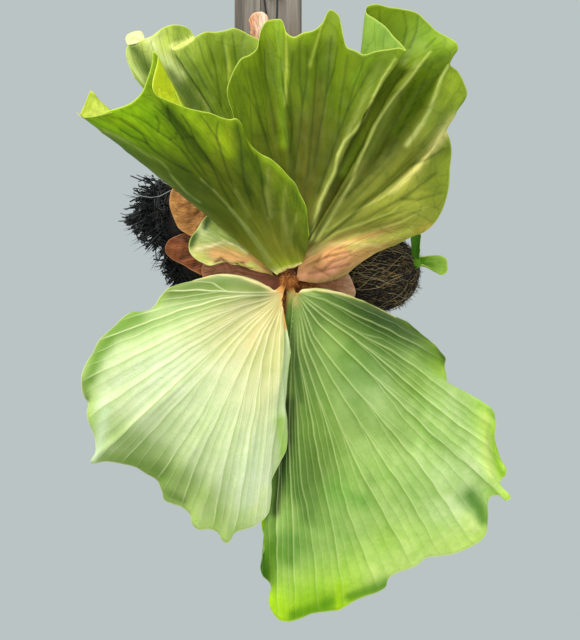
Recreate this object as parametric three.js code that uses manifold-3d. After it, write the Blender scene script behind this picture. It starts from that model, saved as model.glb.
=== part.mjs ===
import * as THREE from 'three';
import { mergeVertices } from 'three/addons/utils/BufferGeometryUtils.js';
import Module from 'manifold-3d';

// A staghorn fern grown on a plank, in millimetres, +Z up, the wall behind it at Y = 0.
// The origin is the middle of the plank's back face. The plant faces -Y.

const plank = { width: 92, height: 600, thickness: 22, worn: 2.5, endWorn: 1.5 };
const nail = {
  shank: 4, head: 9, headThickness: 1.6, standsOut: 13, sunk: 8, middle: 3, spread: 11.8, fromTop: 15,
};
const tieWire = { thickness: 2, slack: 0.35, loopSteps: 24, strandSteps: 6 };
const seatGap = 0.3;
const ribsFrom = 0.13;
const ribsTo = 0.95;
const seatColumns = 3;
const seatSlack = 0.15;
const nailHeight = plank.height / 2 - nail.fromTop;

// The plant's own axis stands to the right of the plank's middle, and the eye level that its
// outlines were drawn from is below it. Outlines are [across, up, out]: out is the distance
// from the wall, and across and up are as seen from eyeDistance in front of growingOut.
const axisAcross = 30;
const axisUp = -170;
const eyeDistance = 1500;
const growingOut = 165;

const random = seeded(41);

function seeded(seed) {
  let state = seed;
  return () => {
    state = (state * 1664525 + 1013904223) % 4294967296;
    return state / 4294967296;
  };
}

// A drawn point moved along the line of sight to its own distance from the wall.
function seen([across, up, out]) {
  const nearness = (eyeDistance + growingOut - out) / eyeDistance;
  return new THREE.Vector3(axisAcross + across * nearness, -out, axisUp + up * nearness);
}

// Each frond is a rim, drawn from one side to the other, and ribs that run from the root to
// a point of the rim. Its surface passes through all of them.

const shieldFrontLeft = {
  rows: 7, thickness: 1.7, rimThickness: 1, rootThickness: 3.5, relief: 1.1, rimReach: 3,
  rim: [
    [-267, 260, 186], [-260, 254, 196], [-250, 254, 203], [-237, 257, 209], [-225, 262, 214],
    [-212, 266, 218], [-200, 271, 222], [-190, 279, 226], [-184, 287, 229], [-179, 300, 231],
    [-175, 312, 232], [-172, 325, 232], [-171, 336, 231], [-166, 332, 233], [-166, 322, 236],
    [-169, 310, 240], [-172, 297, 243], [-172, 290, 245], [-169, 283, 246], [-156, 276, 245],
    [-144, 271, 243], [-131, 266, 240], [-116, 262, 236], [-100, 259, 231], [-85, 253, 225],
    [-75, 251, 220], [-67, 252, 216], [-61, 246, 213], [-57, 234, 210], [-50, 220, 206],
    [-35, 207, 202], [-25, 202, 200], [-15, 194, 197], [-2, 180, 193], [7, 170, 190],
    [12, 159, 187], [20, 142, 184], [22, 125, 180], [24, 106, 177],
  ],
  ribs: [
    [0, [-16, 56, 158.3], [-94, 122, 168], [-177, 189, 176]],
    [3, [-14, 59, 158.3], [-80, 131, 186], [-156, 200, 200]],
    [6, [-11, 60, 158.3], [-70, 135, 193], [-135, 204, 213]],
    [8, [-9, 61, 158.3], [-64, 140, 196], [-122, 215, 221]],
    [18, [-6, 62, 158.3], [-57, 142, 198], [-112, 216, 230]],
    [21, [-4, 64, 158.3], [-45, 142, 198], [-89, 210, 228]],
    [25, [0, 65, 158.3], [-32, 135, 196], [-60, 194, 218]],
    [29, [5, 66, 158.3], [-16, 122, 188], [-32, 172, 200]],
    [33, [10, 69, 158.3], [2, 105, 181], [0, 144, 188]],
    [36, [14, 71, 158.3], [12, 94, 176], [17, 119, 181]],
    [38, [16, 74, 158.3], [20, 84, 171], [22, 95, 174]],
  ],
};

// Small lobes that turn over behind the front shield's rim: one at its far tip, one by its spike.
const frontLeftTipLobe = {
  rows: 3, thickness: 1.3, rimThickness: 1, rootThickness: 1.3, relief: 0, rimReach: 2,
  rim: [[-262, 257, 193], [-256, 271, 187], [-249, 286, 182], [-238, 275, 190], [-225, 263, 203]],
  ribs: [
    [0, [-257, 252, 198]],
    [2, [-241, 254, 207]],
    [4, [-222, 259, 215]],
  ],
};

const frontLeftSpikeLobe = {
  rows: 4, thickness: 1.3, rimThickness: 1, rootThickness: 1.3, relief: 0, rimReach: 2,
  rim: [
    [-166, 325, 229], [-161, 319, 226], [-155, 309, 227], [-146, 293, 231], [-139, 277, 236],
    [-134, 266, 240],
  ],
  ribs: [
    [0, [-171, 288, 244]],
    [3, [-158, 275, 244.5]],
    [5, [-134, 265, 240.5]],
  ],
};

const shieldCentreRight = {
  rows: 7, thickness: 1.7, rimThickness: 1, rootThickness: 3, relief: 1, rimReach: 3,
  rim: [
    [-65, 212, 167], [-72, 260, 170], [-79, 287, 168], [-74, 304, 163], [-67, 319, 160],
    [-61, 327, 158], [-50, 332, 154], [-42, 339, 150], [-39, 351, 144], [-36, 364, 139],
    [-29, 374, 135], [-20, 376, 134], [-12, 376, 136], [-7, 367, 142], [-4, 359, 148],
    [5, 354, 152], [16, 359, 152], [29, 362, 150], [39, 370, 146], [44, 379, 143],
    [50, 388, 142], [60, 382, 146], [64, 370, 152], [67, 356, 160], [72, 341, 168],
    [82, 337, 176], [92, 332, 182], [107, 336, 188], [126, 339, 193], [139, 340, 196],
    [145, 337, 196], [139, 345, 190], [130, 354, 182], [119, 367, 172], [107, 376, 163],
    [95, 385, 154], [96, 392, 148], [107, 395, 143], [125, 391, 140], [140, 389, 138],
    [159, 384, 138], [170, 374, 142], [184, 361, 148], [200, 352, 156], [209, 345, 162],
    [210, 339, 162], [205, 330, 156], [199, 320, 152], [209, 312, 150], [216, 300, 151],
    [221, 280, 152], [211, 267, 146], [206, 255, 140], [195, 239, 134], [200, 225, 138],
    [202, 209, 144], [200, 190, 148], [199, 169, 148], [194, 147, 146], [185, 127, 143],
    [171, 112, 140], [152, 104, 138], [132, 94, 137], [112, 86, 138], [95, 76, 140],
    [80, 65, 142], [71, 57, 144],
  ],
  ribs: [
    [0, [0.5, 66, 154.5], [-12, 110, 157], [-36, 162, 162]],
    [2, [0.9, 66.3, 154.5], [-19, 135, 160], [-50, 209, 165]],
    [5, [1.4, 66.7, 154.5], [-12, 147, 158], [-39, 235, 158]],
    [8, [1.9, 67, 154.5], [-6, 162, 155], [-26, 262, 148]],
    [12, [2.3, 67.4, 154.5], [0, 172, 160], [-6, 277, 154]],
    [15, [2.8, 67.8, 154.5], [7, 166, 157], [7, 262, 152]],
    [18, [3.2, 68.1, 154.5], [16, 171, 161], [27, 271, 155]],
    [21, [3.6, 68.5, 154.5], [25, 175, 161], [44, 279, 155]],
    [24, [4.1, 68.8, 154.5], [30, 165, 164], [52, 254, 163]],
    [27, [4.5, 69.2, 154.5], [37, 162, 168], [75, 252, 177]],
    [30, [5, 69.5, 154.5], [50, 170, 172], [97, 266, 188]],
    [33, [5.5, 69.8, 154.5], [51, 172, 166], [90, 271, 174]],
    [35, [5.9, 70.2, 154.5], [52, 175, 160], [80, 277, 158]],
    [38, [6.4, 70.5, 154.5], [59, 177, 158], [105, 282, 153]],
    [41, [6.8, 70.9, 154.5], [69, 181, 160], [126, 287, 158]],
    [43, [7.2, 71.2, 154.5], [79, 187, 167], [142, 295, 172]],
    [46, [7.7, 71.6, 154.5], [92, 185, 156], [161, 277, 146]],
    [47, [8.2, 72, 154.5], [105, 177, 161], [171, 260, 162]],
    [50, [8.6, 72.3, 154.5], [117, 165, 158], [184, 231, 154]],
    [53, [9.1, 72.7, 154.5], [125, 152, 162], [169, 199, 160]],
    [56, [9.4, 71, 154.5], [115, 134, 160], [162, 166, 157]],
    [59, [10, 68.5, 154.5], [95, 111, 158], [144, 126, 154]],
    [61, [10, 65.5, 154], [71, 94, 158], [116, 104, 151]],
    [63, [9.4, 61, 153.5], [50, 77, 158], [85, 84, 151]],
    [66, [7.5, 50, 152.5], [31, 46, 153], [52, 49, 150]],
  ],
};

const shieldBackLeft = {
  rows: 7, thickness: 1.7, rimThickness: 1, rootThickness: 3, relief: 0.9, rimReach: 3,
  rim: [
    [-195, 304, 104], [-201, 317, 98], [-205, 335, 92], [-202, 344, 90], [-192, 347, 90],
    [-182, 351, 89], [-174, 354, 88], [-166, 360, 86], [-157, 366, 83], [-145, 369, 80],
    [-132, 367, 79], [-124, 362, 80], [-121, 357, 84], [-130, 349, 92], [-140, 344, 97],
    [-147, 340, 101], [-136, 342, 105], [-125, 350, 104], [-115, 356, 101], [-106, 360, 97],
    [-94, 360, 94], [-81, 362, 92], [-71, 365, 90], [-61, 362, 92], [-50, 356, 96],
    [-41, 352, 99], [-27, 344, 104], [-15, 325, 110],
  ],
  ribs: [
    [0, [-11, 77, 142], [-67, 150, 135], [-130, 225, 122]],
    [5, [-10, 79, 142], [-62, 165, 133], [-121, 256, 114]],
    [9, [-9, 80, 142], [-55, 175, 131], [-99, 271, 108]],
    [12, [-7.5, 80.5, 142], [-52, 175, 133], [-91, 266, 112]],
    [15, [-6, 81, 142], [-51, 174, 137], [-95, 259, 124]],
    [18, [-4.5, 81.3, 142], [-46, 177, 136], [-82, 270, 120]],
    [22, [-2.5, 81.5, 142], [-30, 182, 133], [-52, 276, 112]],
    [25, [0, 81.3, 142], [-17, 177, 134], [-31, 267, 116]],
    [27, [2.5, 80.5, 142], [-5, 165, 135], [-11, 245, 122]],
  ],
};

const backLeftLobe = {
  rows: 3, thickness: 1.3, rimThickness: 1, rootThickness: 1.3, relief: 0, rimReach: 2,
  rim: [[-206, 351, 84], [-203, 357, 79], [-196, 360, 76], [-187, 361, 77], [-182, 355, 82]],
  ribs: [
    [0, [-203, 343, 90]],
    [2, [-192, 345.5, 90]],
    [4, [-181, 350, 89]],
  ],
};

const shieldLowerLeft = {
  rows: 6, thickness: 1.7, rimThickness: 1, rootThickness: 2.4, relief: 0.6, rimReach: 3,
  rim: [
    [-97, 134, 151], [-104, 131, 152], [-110, 124, 152], [-116, 114, 154], [-124, 104, 154],
    [-127, 94, 154], [-126, 86, 154], [-119, 77, 156], [-109, 71, 158], [-99, 68, 160],
    [-91, 72, 160], [-81, 72, 160], [-70, 69, 160], [-59, 70, 159], [-49, 74, 157],
  ],
  ribs: [
    [0, [-24, 64, 151.4], [-49, 87, 155], [-72, 111, 153]],
    [4, [-23, 61, 151.3], [-55, 77, 158], [-89, 92, 158]],
    [8, [-22, 59, 151.3], [-50, 66, 159], [-79, 76, 161]],
    [12, [-22, 57, 151.3], [-37, 61, 158], [-54, 66, 160]],
    [14, [-21, 55, 151.3], [-30, 61, 156], [-39, 67, 157]],
  ],
};

const dryShieldLowerLeft = {
  rows: 5, thickness: 1.6, rimThickness: 1, rootThickness: 2.4, relief: 0.5, rimReach: 3,
  rim: [
    [-105, 77, 146], [-110, 67, 145], [-110, 56, 145], [-100, 45, 145], [-77, 36, 147],
    [-50, 32, 149],
  ],
  ribs: [
    [0, [-11, 54, 148], [-50, 65, 150], [-77, 74, 149]],
    [2, [-10, 48, 148], [-50, 51, 152], [-80, 54, 150]],
    [5, [-8.5, 40, 149], [-29, 37, 151], [-39, 35, 151]],
  ],
};

const dryShieldTanLeft = {
  rows: 5, thickness: 1.6, rimThickness: 1, rootThickness: 2, relief: 0.4, rimReach: 3,
  rim: [
    [-132, 167, 122], [-145, 166, 118], [-150, 155, 116], [-150, 142, 116], [-146, 129, 118],
    [-140, 116, 121], [-132, 109, 125], [-124, 106, 129], [-115, 110, 133],
  ],
  ribs: [
    [0, [-80, 142, 111], [-97, 152, 119], [-115, 161, 122]],
    [3, [-77, 135, 112], [-100, 139, 122], [-125, 141, 124]],
    [6, [-76, 127, 112], [-95, 121, 121], [-114, 114, 125]],
    [8, [-76, 121, 112], [-90, 118, 121], [-102, 114, 127]],
  ],
};

const dryShieldRustLeft = {
  rows: 5, thickness: 1.6, rimThickness: 1, rootThickness: 2, relief: 0.4, rimReach: 3,
  rim: [
    [-122, 108, 121], [-132, 108, 117], [-142, 105, 114], [-151, 100, 112], [-156, 92, 111],
    [-156, 85, 111], [-149, 77, 113], [-136, 70, 117], [-125, 64, 121], [-112, 56, 126],
  ],
  ribs: [
    [0, [-80, 100, 110], [-95, 102, 114], [-109, 105, 116]],
    [4, [-77, 90, 110], [-102, 91, 114], [-130, 92, 116]],
    [7, [-77, 81, 109], [-96, 77, 114], [-116, 74, 117]],
    [9, [-77, 72, 108], [-89, 67, 114], [-100, 61, 119]],
  ],
};

const dryShieldRight = {
  rows: 5, thickness: 1.6, rimThickness: 1, rootThickness: 2, relief: 0.4, rimReach: 3,
  rim: [
    [67, 67, 134], [75, 54, 132], [80, 42, 131], [82, 34, 131], [77, 24, 132], [62, 17, 135],
  ],
  ribs: [
    [0, [22, 60, 142], [37, 62, 142], [52, 65, 139]],
    [3, [24, 50, 142], [44, 44, 143], [64, 39, 138]],
    [5, [22, 41, 142], [36, 32, 143], [50, 25, 140]],
  ],
};

const dryShieldBack = {
  rows: 6, thickness: 1.6, rimThickness: 1, rootThickness: 2.4, relief: 0.5, rimReach: 3,
  rim: [
    [-49, 344, 42], [-50, 362, 38], [-51, 376, 36], [-47, 382, 34], [-41, 384, 33],
    [-35, 385, 33], [-29, 381, 35], [-26, 372, 37], [-29, 356, 40], [-27, 340, 43],
  ],
  ribs: [
    [0, [-37, 212, 62], [-41, 262, 58], [-46, 305, 50]],
    [5, [-29, 213, 64], [-31, 277, 58], [-34, 331, 44]],
    [9, [-21, 212, 62], [-24, 262, 58], [-26, 302, 50]],
  ],
};

const fertileLeft = {
  stations: [0, 0.1, 0.37, 0.68, 1],
  rows: 8, thickness: 1.8, rimThickness: 1, rootThickness: 5, relief: 0.9, rimReach: 3,
  rim: [
    [-62, 54, 160], [-81, 57, 157], [-100, 55, 155], [-119, 50, 153], [-137, 45, 152],
    [-152, 39, 150], [-162, 29, 148], [-169, 19, 147], [-176, 14, 146], [-187, 12, 145],
    [-197, 11, 143], [-207, 6, 141], [-219, -5, 139], [-229, -14, 138], [-239, -25, 136],
    [-247, -39, 137], [-256, -55, 138], [-262, -74, 139], [-262, -86, 141], [-259, -96, 143],
    [-254, -105, 145], [-254, -115, 146], [-252, -125, 148], [-247, -139, 149],
    [-244, -151, 149], [-244, -162, 148], [-249, -179, 145], [-232, -181, 149],
    [-215, -184, 152], [-197, -187, 155], [-181, -194, 156], [-167, -202, 157],
    [-160, -214, 156], [-156, -224, 155], [-149, -228, 155], [-136, -234, 156],
    [-125, -244, 157], [-121, -255, 156], [-115, -261, 156], [-101, -263, 158],
    [-91, -268, 158], [-86, -275, 158], [-79, -279, 158], [-74, -276, 159], [-67, -267, 161],
    [-56, -263, 164], [-44, -258, 169], [-34, -250, 173], [-27, -241, 176], [-24, -227, 178],
    [-25, -212, 180], [-20, -195, 183], [-11, -176, 186], [-5, -161, 188], [-4, -147, 190],
    [-6, -130, 192], [-6, -110, 193], [-4, -87, 195], [-2, -62, 196], [1, -40, 196],
  ],
  ribs: [
    [0, [-7.6, 47.5, 153], [-15.6, 39.5, 160], [-27, 41, 166], [-44, 50, 165]],
    [4, [-7.3, 47.5, 153], [-15.1, 38.1, 160.2], [-47, 42, 176], [-91, 45, 174]],
    [8, [-7.1, 47.5, 153], [-14.5, 37.1, 160.3], [-62, 31, 188], [-119, 22, 184]],
    [13, [-6.8, 47.5, 153], [-14, 36.2, 160.5], [-77, 21, 196], [-152, 2, 190]],
    [18, [-6.6, 47.5, 153], [-13.5, 35.3, 160.7], [-87, -2, 202], [-175, -42, 198]],
    [23, [-6.3, 47.5, 153], [-12.9, 34.5, 160.8], [-81, -22, 203], [-165, -80, 200]],
    [26, [-6.1, 47.5, 153], [-12.4, 33.8, 161], [-77, -31, 204], [-162, -102, 200]],
    [31, [-5.8, 47.5, 153], [-11.9, 33, 161.2], [-56, -40, 205], [-110, -119, 202]],
    [36, [-5.6, 47.5, 153], [-11.3, 32.3, 161.3], [-42, -52, 206], [-82, -146, 204]],
    [42, [-5.3, 47.5, 153], [-10.8, 31.6, 161.5], [-27, -65, 206], [-51, -169, 204]],
    [48, [-5.1, 47.5, 153], [-10.3, 30.9, 161.7], [-14, -55, 204], [-22, -146, 203]],
    [54, [-4.8, 47.5, 153], [-9.7, 30.2, 161.8], [-8, -25, 202], [-8, -85, 203]],
    [59, [-4.6, 47.5, 153], [-9.2, 29.5, 162], [-8, 12, 186], [-3, -15, 195]],
  ],
};

const fertileRight = {
  stations: [0, 0.08, 0.36, 0.68, 1],
  rows: 8, thickness: 1.8, rimThickness: 1, rootThickness: 5, relief: 0.9, rimReach: 3,
  rim: [
    [-30, -231, 160], [-35, -247, 158], [-35, -262, 156], [-31, -275, 154], [-32, -286, 152],
    [-37, -296, 151], [-39, -309, 150], [-35, -321, 150], [-27, -330, 150], [-24, -340, 150],
    [-26, -352, 149], [-22, -364, 148], [-14, -374, 147], [-1, -378, 146], [15, -375, 146],
    [31, -370, 146], [50, -367, 146], [66, -362, 146], [80, -354, 146], [95, -347, 146],
    [112, -341, 146], [121, -335, 146], [126, -325, 147], [134, -319, 147], [147, -314, 146],
    [161, -307, 145], [171, -299, 144], [187, -295, 142], [206, -290, 140], [222, -282, 139],
    [235, -274, 138], [245, -261, 138], [249, -246, 138], [251, -233, 139], [254, -225, 140],
    [261, -223, 141], [270, -227, 141], [276, -222, 140], [271, -212, 139], [266, -202, 139],
    [271, -195, 138], [271, -187, 137], [266, -176, 136], [261, -162, 136], [257, -146, 137],
    [257, -130, 139], [255, -116, 141], [246, -106, 141], [234, -101, 140], [220, -96, 139],
    [209, -89, 138], [200, -77, 137], [197, -62, 136], [197, -47, 136], [190, -37, 138],
    [180, -26, 140], [167, -16, 142], [151, -4, 144], [131, 4, 146], [112, 14, 149],
    [90, 24, 152], [69, 32, 155], [50, 37, 158],
  ],
  ribs: [
    [0, [-2, 47.5, 152], [-4.6, 26, 160], [-7, -52, 170], [-20, -144, 168]],
    [7, [-1.6, 47.5, 152], [-3.7, 26.5, 160], [-4, -81, 178], [-19, -200, 176]],
    [13, [-1.2, 47.5, 152], [-2.7, 27.2, 160], [2, -100, 184], [0, -240, 182]],
    [20, [-0.7, 47.5, 152], [-1.8, 28, 160], [37, -90, 190], [75, -215, 190]],
    [27, [-0.3, 47.5, 152], [-0.8, 29, 160], [62, -75, 193], [125, -185, 193]],
    [32, [0.1, 47.5, 152], [0.1, 29.9, 160], [81, -60, 194], [165, -155, 194]],
    [37, [0.5, 47.5, 152], [1.1, 31, 160], [90, -47, 193], [180, -130, 193]],
    [43, [0.9, 47.5, 152], [2, 32.1, 160], [90, -25, 192], [177, -90, 190]],
    [48, [1.3, 47.5, 152], [3, 33.3, 160], [81, -7, 190], [157, -55, 186]],
    [53, [1.8, 47.5, 152], [3.9, 34.5, 160], [70, 10, 186], [135, -21, 180]],
    [58, [2.2, 47.5, 152], [4.9, 35.7, 160], [50, 27, 178], [92, 16, 170]],
    [62, [2.6, 47.5, 152], [5.8, 37, 160], [17, 38, 166], [34, 39, 164]],
  ],
};

// The young plant at the right edge: a strap leaf behind the big shield and a round one beside it.
const pupStrap = {
  rows: 4, thickness: 1.6, rimThickness: 1, rootThickness: 2.4, relief: 0, rimReach: 2,
  rim: [[151, 104, 112], [156, 110, 112], [163, 108, 111], [163, 100, 110], [162, 90, 109]],
  ribs: [
    [0, [150, 72, 96], [152, 86, 104]],
    [2, [155, 73, 97], [158, 88, 105]],
    [4, [159, 72, 98], [161, 80, 104]],
  ],
};

const pupRound = {
  rows: 5, thickness: 1.6, rimThickness: 1, rootThickness: 2.4, relief: 0, rimReach: 2,
  rim: [
    [166, 79, 98], [181, 81, 99], [190, 80, 98], [196, 76, 96], [197, 69, 95], [197, 61, 94],
    [190, 56, 94], [183, 59, 95], [175, 65, 96], [166, 70, 97],
  ],
  ribs: [
    [0, [152, 76, 94], [159, 78, 96]],
    [3, [152, 73.5, 94], [172, 75, 98]],
    [6, [152, 71, 94], [170, 66, 97]],
    [9, [152, 68, 94], [159, 69, 96]],
  ],
};

const pupBud = { middle: [157, 72, 95], half: [8, 8, 7] };

// The matted roots: overlapping lumps, [across, up, out], with their half widths.
const rootLumps = [
  { middle: [-6, 122, 60], half: [120, 108, 71] },
  { middle: [-122, 134, 66], half: [57, 58, 50] },
  { middle: [-104, 72, 66], half: [50, 40, 48] },
  { middle: [104, 60, 72], half: [57, 50, 54] },
  { middle: [0, 50, 84], half: [60, 40, 62] },
];

// Loose root ends stand out of a lump: how many, how long, and which way they lean.
const rootEnds = [
  { lump: 1, count: 64, length: [18, 44], lean: [-1, -0.25, 0], spread: 0.75 },
  { lump: 2, count: 28, length: [12, 28], lean: [-0.8, -0.6, 0], spread: 0.7 },
  { lump: 3, count: 42, length: [7, 15], lean: [0.7, -0.5, 0], spread: 1 },
  { lump: 0, count: 22, length: [10, 24], lean: [0, 0.5, 0], spread: 1 },
];
const rootEndRadius = 1.3;

const rhizome = {
  stem: { middle: [1, 64, 136.7], half: [22, 20, 15] },
  bud: { middle: [-1.5, 53, 149], half: [10, 10, 12] },
  scales: 12,
};

const finish = {
  wood: { color: 0x8d8378, roughness: 0.85, metalness: 0 },
  steel: { color: 0x6b6660, roughness: 0.5, metalness: 0.8 },
  wire: { color: 0x17181a, roughness: 0.5, metalness: 0 },
  roots: { color: 0x2f251d, roughness: 0.95, metalness: 0 },
  bud: { color: 0x6a3d17, roughness: 0.9, metalness: 0 },
  shieldGreen: { color: 0x6f9418, roughness: 0.5, metalness: 0 },
  shieldPale: { color: 0x9db35c, roughness: 0.5, metalness: 0 },
  shieldMint: { color: 0xc3c98a, roughness: 0.6, metalness: 0 },
  dryTan: { color: 0xb98a5c, roughness: 0.8, metalness: 0 },
  dryRust: { color: 0x94543a, roughness: 0.8, metalness: 0 },
  dryMauve: { color: 0x96695a, roughness: 0.8, metalness: 0 },
  feltPale: { color: 0xb9cd8f, roughness: 0.8, metalness: 0 },
  feltGreen: { color: 0x7ea860, roughness: 0.7, metalness: 0 },
  pupGreen: { color: 0x74a02a, roughness: 0.5, metalness: 0 },
};

const wasm = await Module();
wasm.setup();

// A smooth curve through points at rising knots, with each slope taken from its two neighbours.
function curveThrough(knots, points) {
  const last = points.length - 1;
  const chords = knots.slice(1).map((knot, i) =>
    points[i + 1].clone().sub(points[i]).divideScalar(knot - knots[i]));
  const slopes = points.map((point, i) => {
    if (i === 0) return chords[0].clone();
    if (i === last) return chords[last - 1].clone();
    const before = knots[i] - knots[i - 1];
    const after = knots[i + 1] - knots[i];
    return chords[i - 1].clone().multiplyScalar(after).addScaledVector(chords[i], before)
      .divideScalar(before + after);
  });
  return (at) => {
    let i = 0;
    while (i < last - 1 && at > knots[i + 1]) i += 1;
    const width = knots[i + 1] - knots[i];
    const t = (at - knots[i]) / width;
    const s = 1 - t;
    return points[i].clone().multiplyScalar((1 + 2 * t) * s * s)
      .addScaledVector(slopes[i], width * t * s * s)
      .addScaledVector(points[i + 1], t * t * (3 - 2 * t))
      .addScaledVector(slopes[i + 1], -width * t * t * s);
  };
}

// Knots from 0 to 1 in proportion to the distances between the points.
function chordKnots(points) {
  const knots = [0];
  for (let i = 1; i < points.length; i += 1) {
    knots.push(knots[i - 1] + points[i].distanceTo(points[i - 1]));
  }
  return knots.map((knot) => knot / knots[knots.length - 1]);
}

// The middle surface of a frond, as a function of u, along the rim, and v, from root to rim.
function frondSurface(frond) {
  const rim = frond.rim.map(seen);
  const rimKnots = chordKnots(rim);
  const rimCurve = curveThrough(rimKnots, rim);
  const ribKnots = frond.ribs.map(([end]) => rimKnots[end]);
  const stations = frond.ribs[0].length - 1;
  const rowCurves = [];
  for (let row = 1; row <= stations; row += 1) {
    rowCurves.push(curveThrough(ribKnots, frond.ribs.map((rib) => seen(rib[row]))));
  }
  rowCurves.push(curveThrough(ribKnots, frond.ribs.map(([end]) => rim[end])));
  const rowKnots = frond.stations ?? rowCurves.map((curve, row) => row / stations);
  const surface = (u, v) => {
    const across = rowCurves.map((curve) => curve(u));
    const point = curveThrough(rowKnots, across)(v);
    const wave = rimCurve(u).sub(across[stations]);
    return point.addScaledVector(wave, Math.max(v, 0) ** frond.rimReach);
  };
  return { surface, rimKnots };
}

function surfaceNormal(surface, u, v) {
  const near = 0.002;
  const u0 = Math.max(u - near, 0);
  const u1 = Math.min(u + near, 1);
  const v0 = Math.max(v - near, 0);
  const v1 = Math.min(v + near, 1);
  const alongRim = surface(u1, v).sub(surface(u0, v));
  const fromRoot = surface(u, v1).sub(surface(u, v0));
  return alongRim.cross(fromRoot).normalize();
}

// Ribs rise from a little above the root and sink again short of the rim.
function ribReach(v) {
  return Math.min(Math.max((v - ribsFrom) / (ribsTo - ribsFrom), 0), 1);
}

// A step of a given length in the direction from one point to another.
function step(from, to, length) {
  return to.clone().sub(from).setLength(length);
}

// A closed blade round a frond's surface. Both faces share one grid, with a rib raised on
// every other column. Grown blades, wider and thicker all round, cut the seats.
function bladeSolid(frond, grown = 0) {
  const { surface, rimKnots } = frondSurface(frond);
  const last = rimKnots.length - 1;
  const every = grown ? seatColumns : 1;
  const kept = rimKnots.filter((knot, i) => i % every === 0 || i === last);
  const columns = kept.length - 1;
  const rows = frond.rows;
  const front = [];
  const back = [];
  for (let row = 0; row <= rows; row += 1) {
    const v = row / rows;
    for (let column = 0; column <= columns; column += 1) {
      const u = kept[column];
      const point = surface(u, v);
      const normal = surfaceNormal(surface, u, v);
      const thick = frond.rimThickness + (frond.thickness - frond.rimThickness) * (1 - v)
        + (frond.rootThickness - frond.thickness) * (1 - v) ** 9;
      const side = column % 2 ? 0.5 : -0.5;
      const raised = grown ? 0 : side * frond.relief * Math.sin(Math.PI * ribReach(v));
      point.addScaledVector(normal, raised);
      if (grown) {
        const near = 0.004;
        if (column === 0) point.add(step(surface(near, v), surface(0, v), grown));
        if (column === columns) point.add(step(surface(1 - near, v), surface(1, v), grown));
        if (row === 0) point.add(step(surface(u, near), surface(u, 0), grown));
        if (row === rows) point.add(step(surface(u, 1 - near), surface(u, 1), grown));
      }
      const half = thick / 2 + grown;
      front.push(point.clone().addScaledVector(normal, half));
      back.push(point.clone().addScaledVector(normal, -half));
    }
  }
  const wide = columns + 1;
  const behind = front.length;
  const faces = [];
  const quad = (a, b, c, d) => faces.push(a, b, c, a, c, d);
  for (let row = 0; row < rows; row += 1) {
    for (let column = 0; column < columns; column += 1) {
      const a = row * wide + column;
      quad(a, a + 1, a + wide + 1, a + wide);
      faces.push(behind + a, behind + a + wide + 1, behind + a + 1);
      faces.push(behind + a, behind + a + wide, behind + a + wide + 1);
    }
  }
  for (let column = 0; column < columns; column += 1) {
    const root = column;
    const tip = rows * wide + column;
    quad(root + 1, root, behind + root, behind + root + 1);
    quad(tip, tip + 1, behind + tip + 1, behind + tip);
  }
  for (let row = 0; row < rows; row += 1) {
    const first = row * wide;
    const final = first + columns;
    quad(first, first + wide, behind + first + wide, behind + first);
    quad(final + wide, final, behind + final, behind + final + wide);
  }
  return solidFrom(front.concat(back), faces);
}

function solidFrom(points, faces) {
  const vertProperties = new Float32Array(points.length * 3);
  points.forEach((point, i) => point.toArray(vertProperties, i * 3));
  return new wasm.Manifold(new wasm.Mesh({
    numProp: 3, vertProperties, triVerts: new Uint32Array(faces),
  }));
}

function solidOf(geometry) {
  const bare = geometry.clone();
  bare.deleteAttribute('normal');
  bare.deleteAttribute('uv');
  const merged = mergeVertices(bare);
  return new wasm.Manifold(new wasm.Mesh({
    numProp: 3,
    vertProperties: new Float32Array(merged.attributes.position.array),
    triVerts: new Uint32Array(merged.index.array),
  }));
}

// The largest closed body of a solid, without the crumbs that a cut leaves.
function mainBody(solid) {
  return solid.decompose().reduce((best, body) => (body.volume() > best.volume() ? body : best));
}

function meshOf(name, solid, look) {
  const { numProp, vertProperties, triVerts } = solid.getMesh();
  const count = vertProperties.length / numProp;
  const position = new Float32Array(count * 3);
  for (let i = 0; i < count; i += 1) {
    for (let axis = 0; axis < 3; axis += 1) {
      position[i * 3 + axis] = vertProperties[i * numProp + axis];
    }
  }
  const geometry = new THREE.BufferGeometry();
  geometry.setAttribute('position', new THREE.BufferAttribute(position, 3));
  geometry.setIndex(new THREE.BufferAttribute(new Uint32Array(triVerts), 1));
  geometry.computeVertexNormals();
  const mesh = new THREE.Mesh(geometry, new THREE.MeshStandardMaterial(look));
  mesh.name = name;
  return mesh;
}

function plankSolid() {
  const { width, height, thickness, worn, endWorn } = plank;
  const outline = new THREE.Shape();
  outline.moveTo(-width / 2, 0);
  outline.lineTo(width / 2, 0);
  outline.lineTo(width / 2, -thickness + worn);
  outline.lineTo(width / 2 - worn, -thickness);
  outline.lineTo(-width / 2 + worn, -thickness);
  outline.lineTo(-width / 2, -thickness + worn);
  outline.closePath();
  const body = new THREE.ExtrudeGeometry(outline, { depth: height, bevelEnabled: false });
  body.translate(0, 0, -height / 2);
  const topCut = new THREE.BoxGeometry(width + 2, endWorn * 2, endWorn * 2);
  topCut.rotateX(Math.PI / 4);
  const corner = -thickness;
  let solid = solidOf(body);
  for (const end of [-height / 2, height / 2]) {
    const cut = topCut.clone();
    cut.translate(0, corner, end);
    solid = solid.subtract(solidOf(cut));
  }
  return solid;
}

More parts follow.
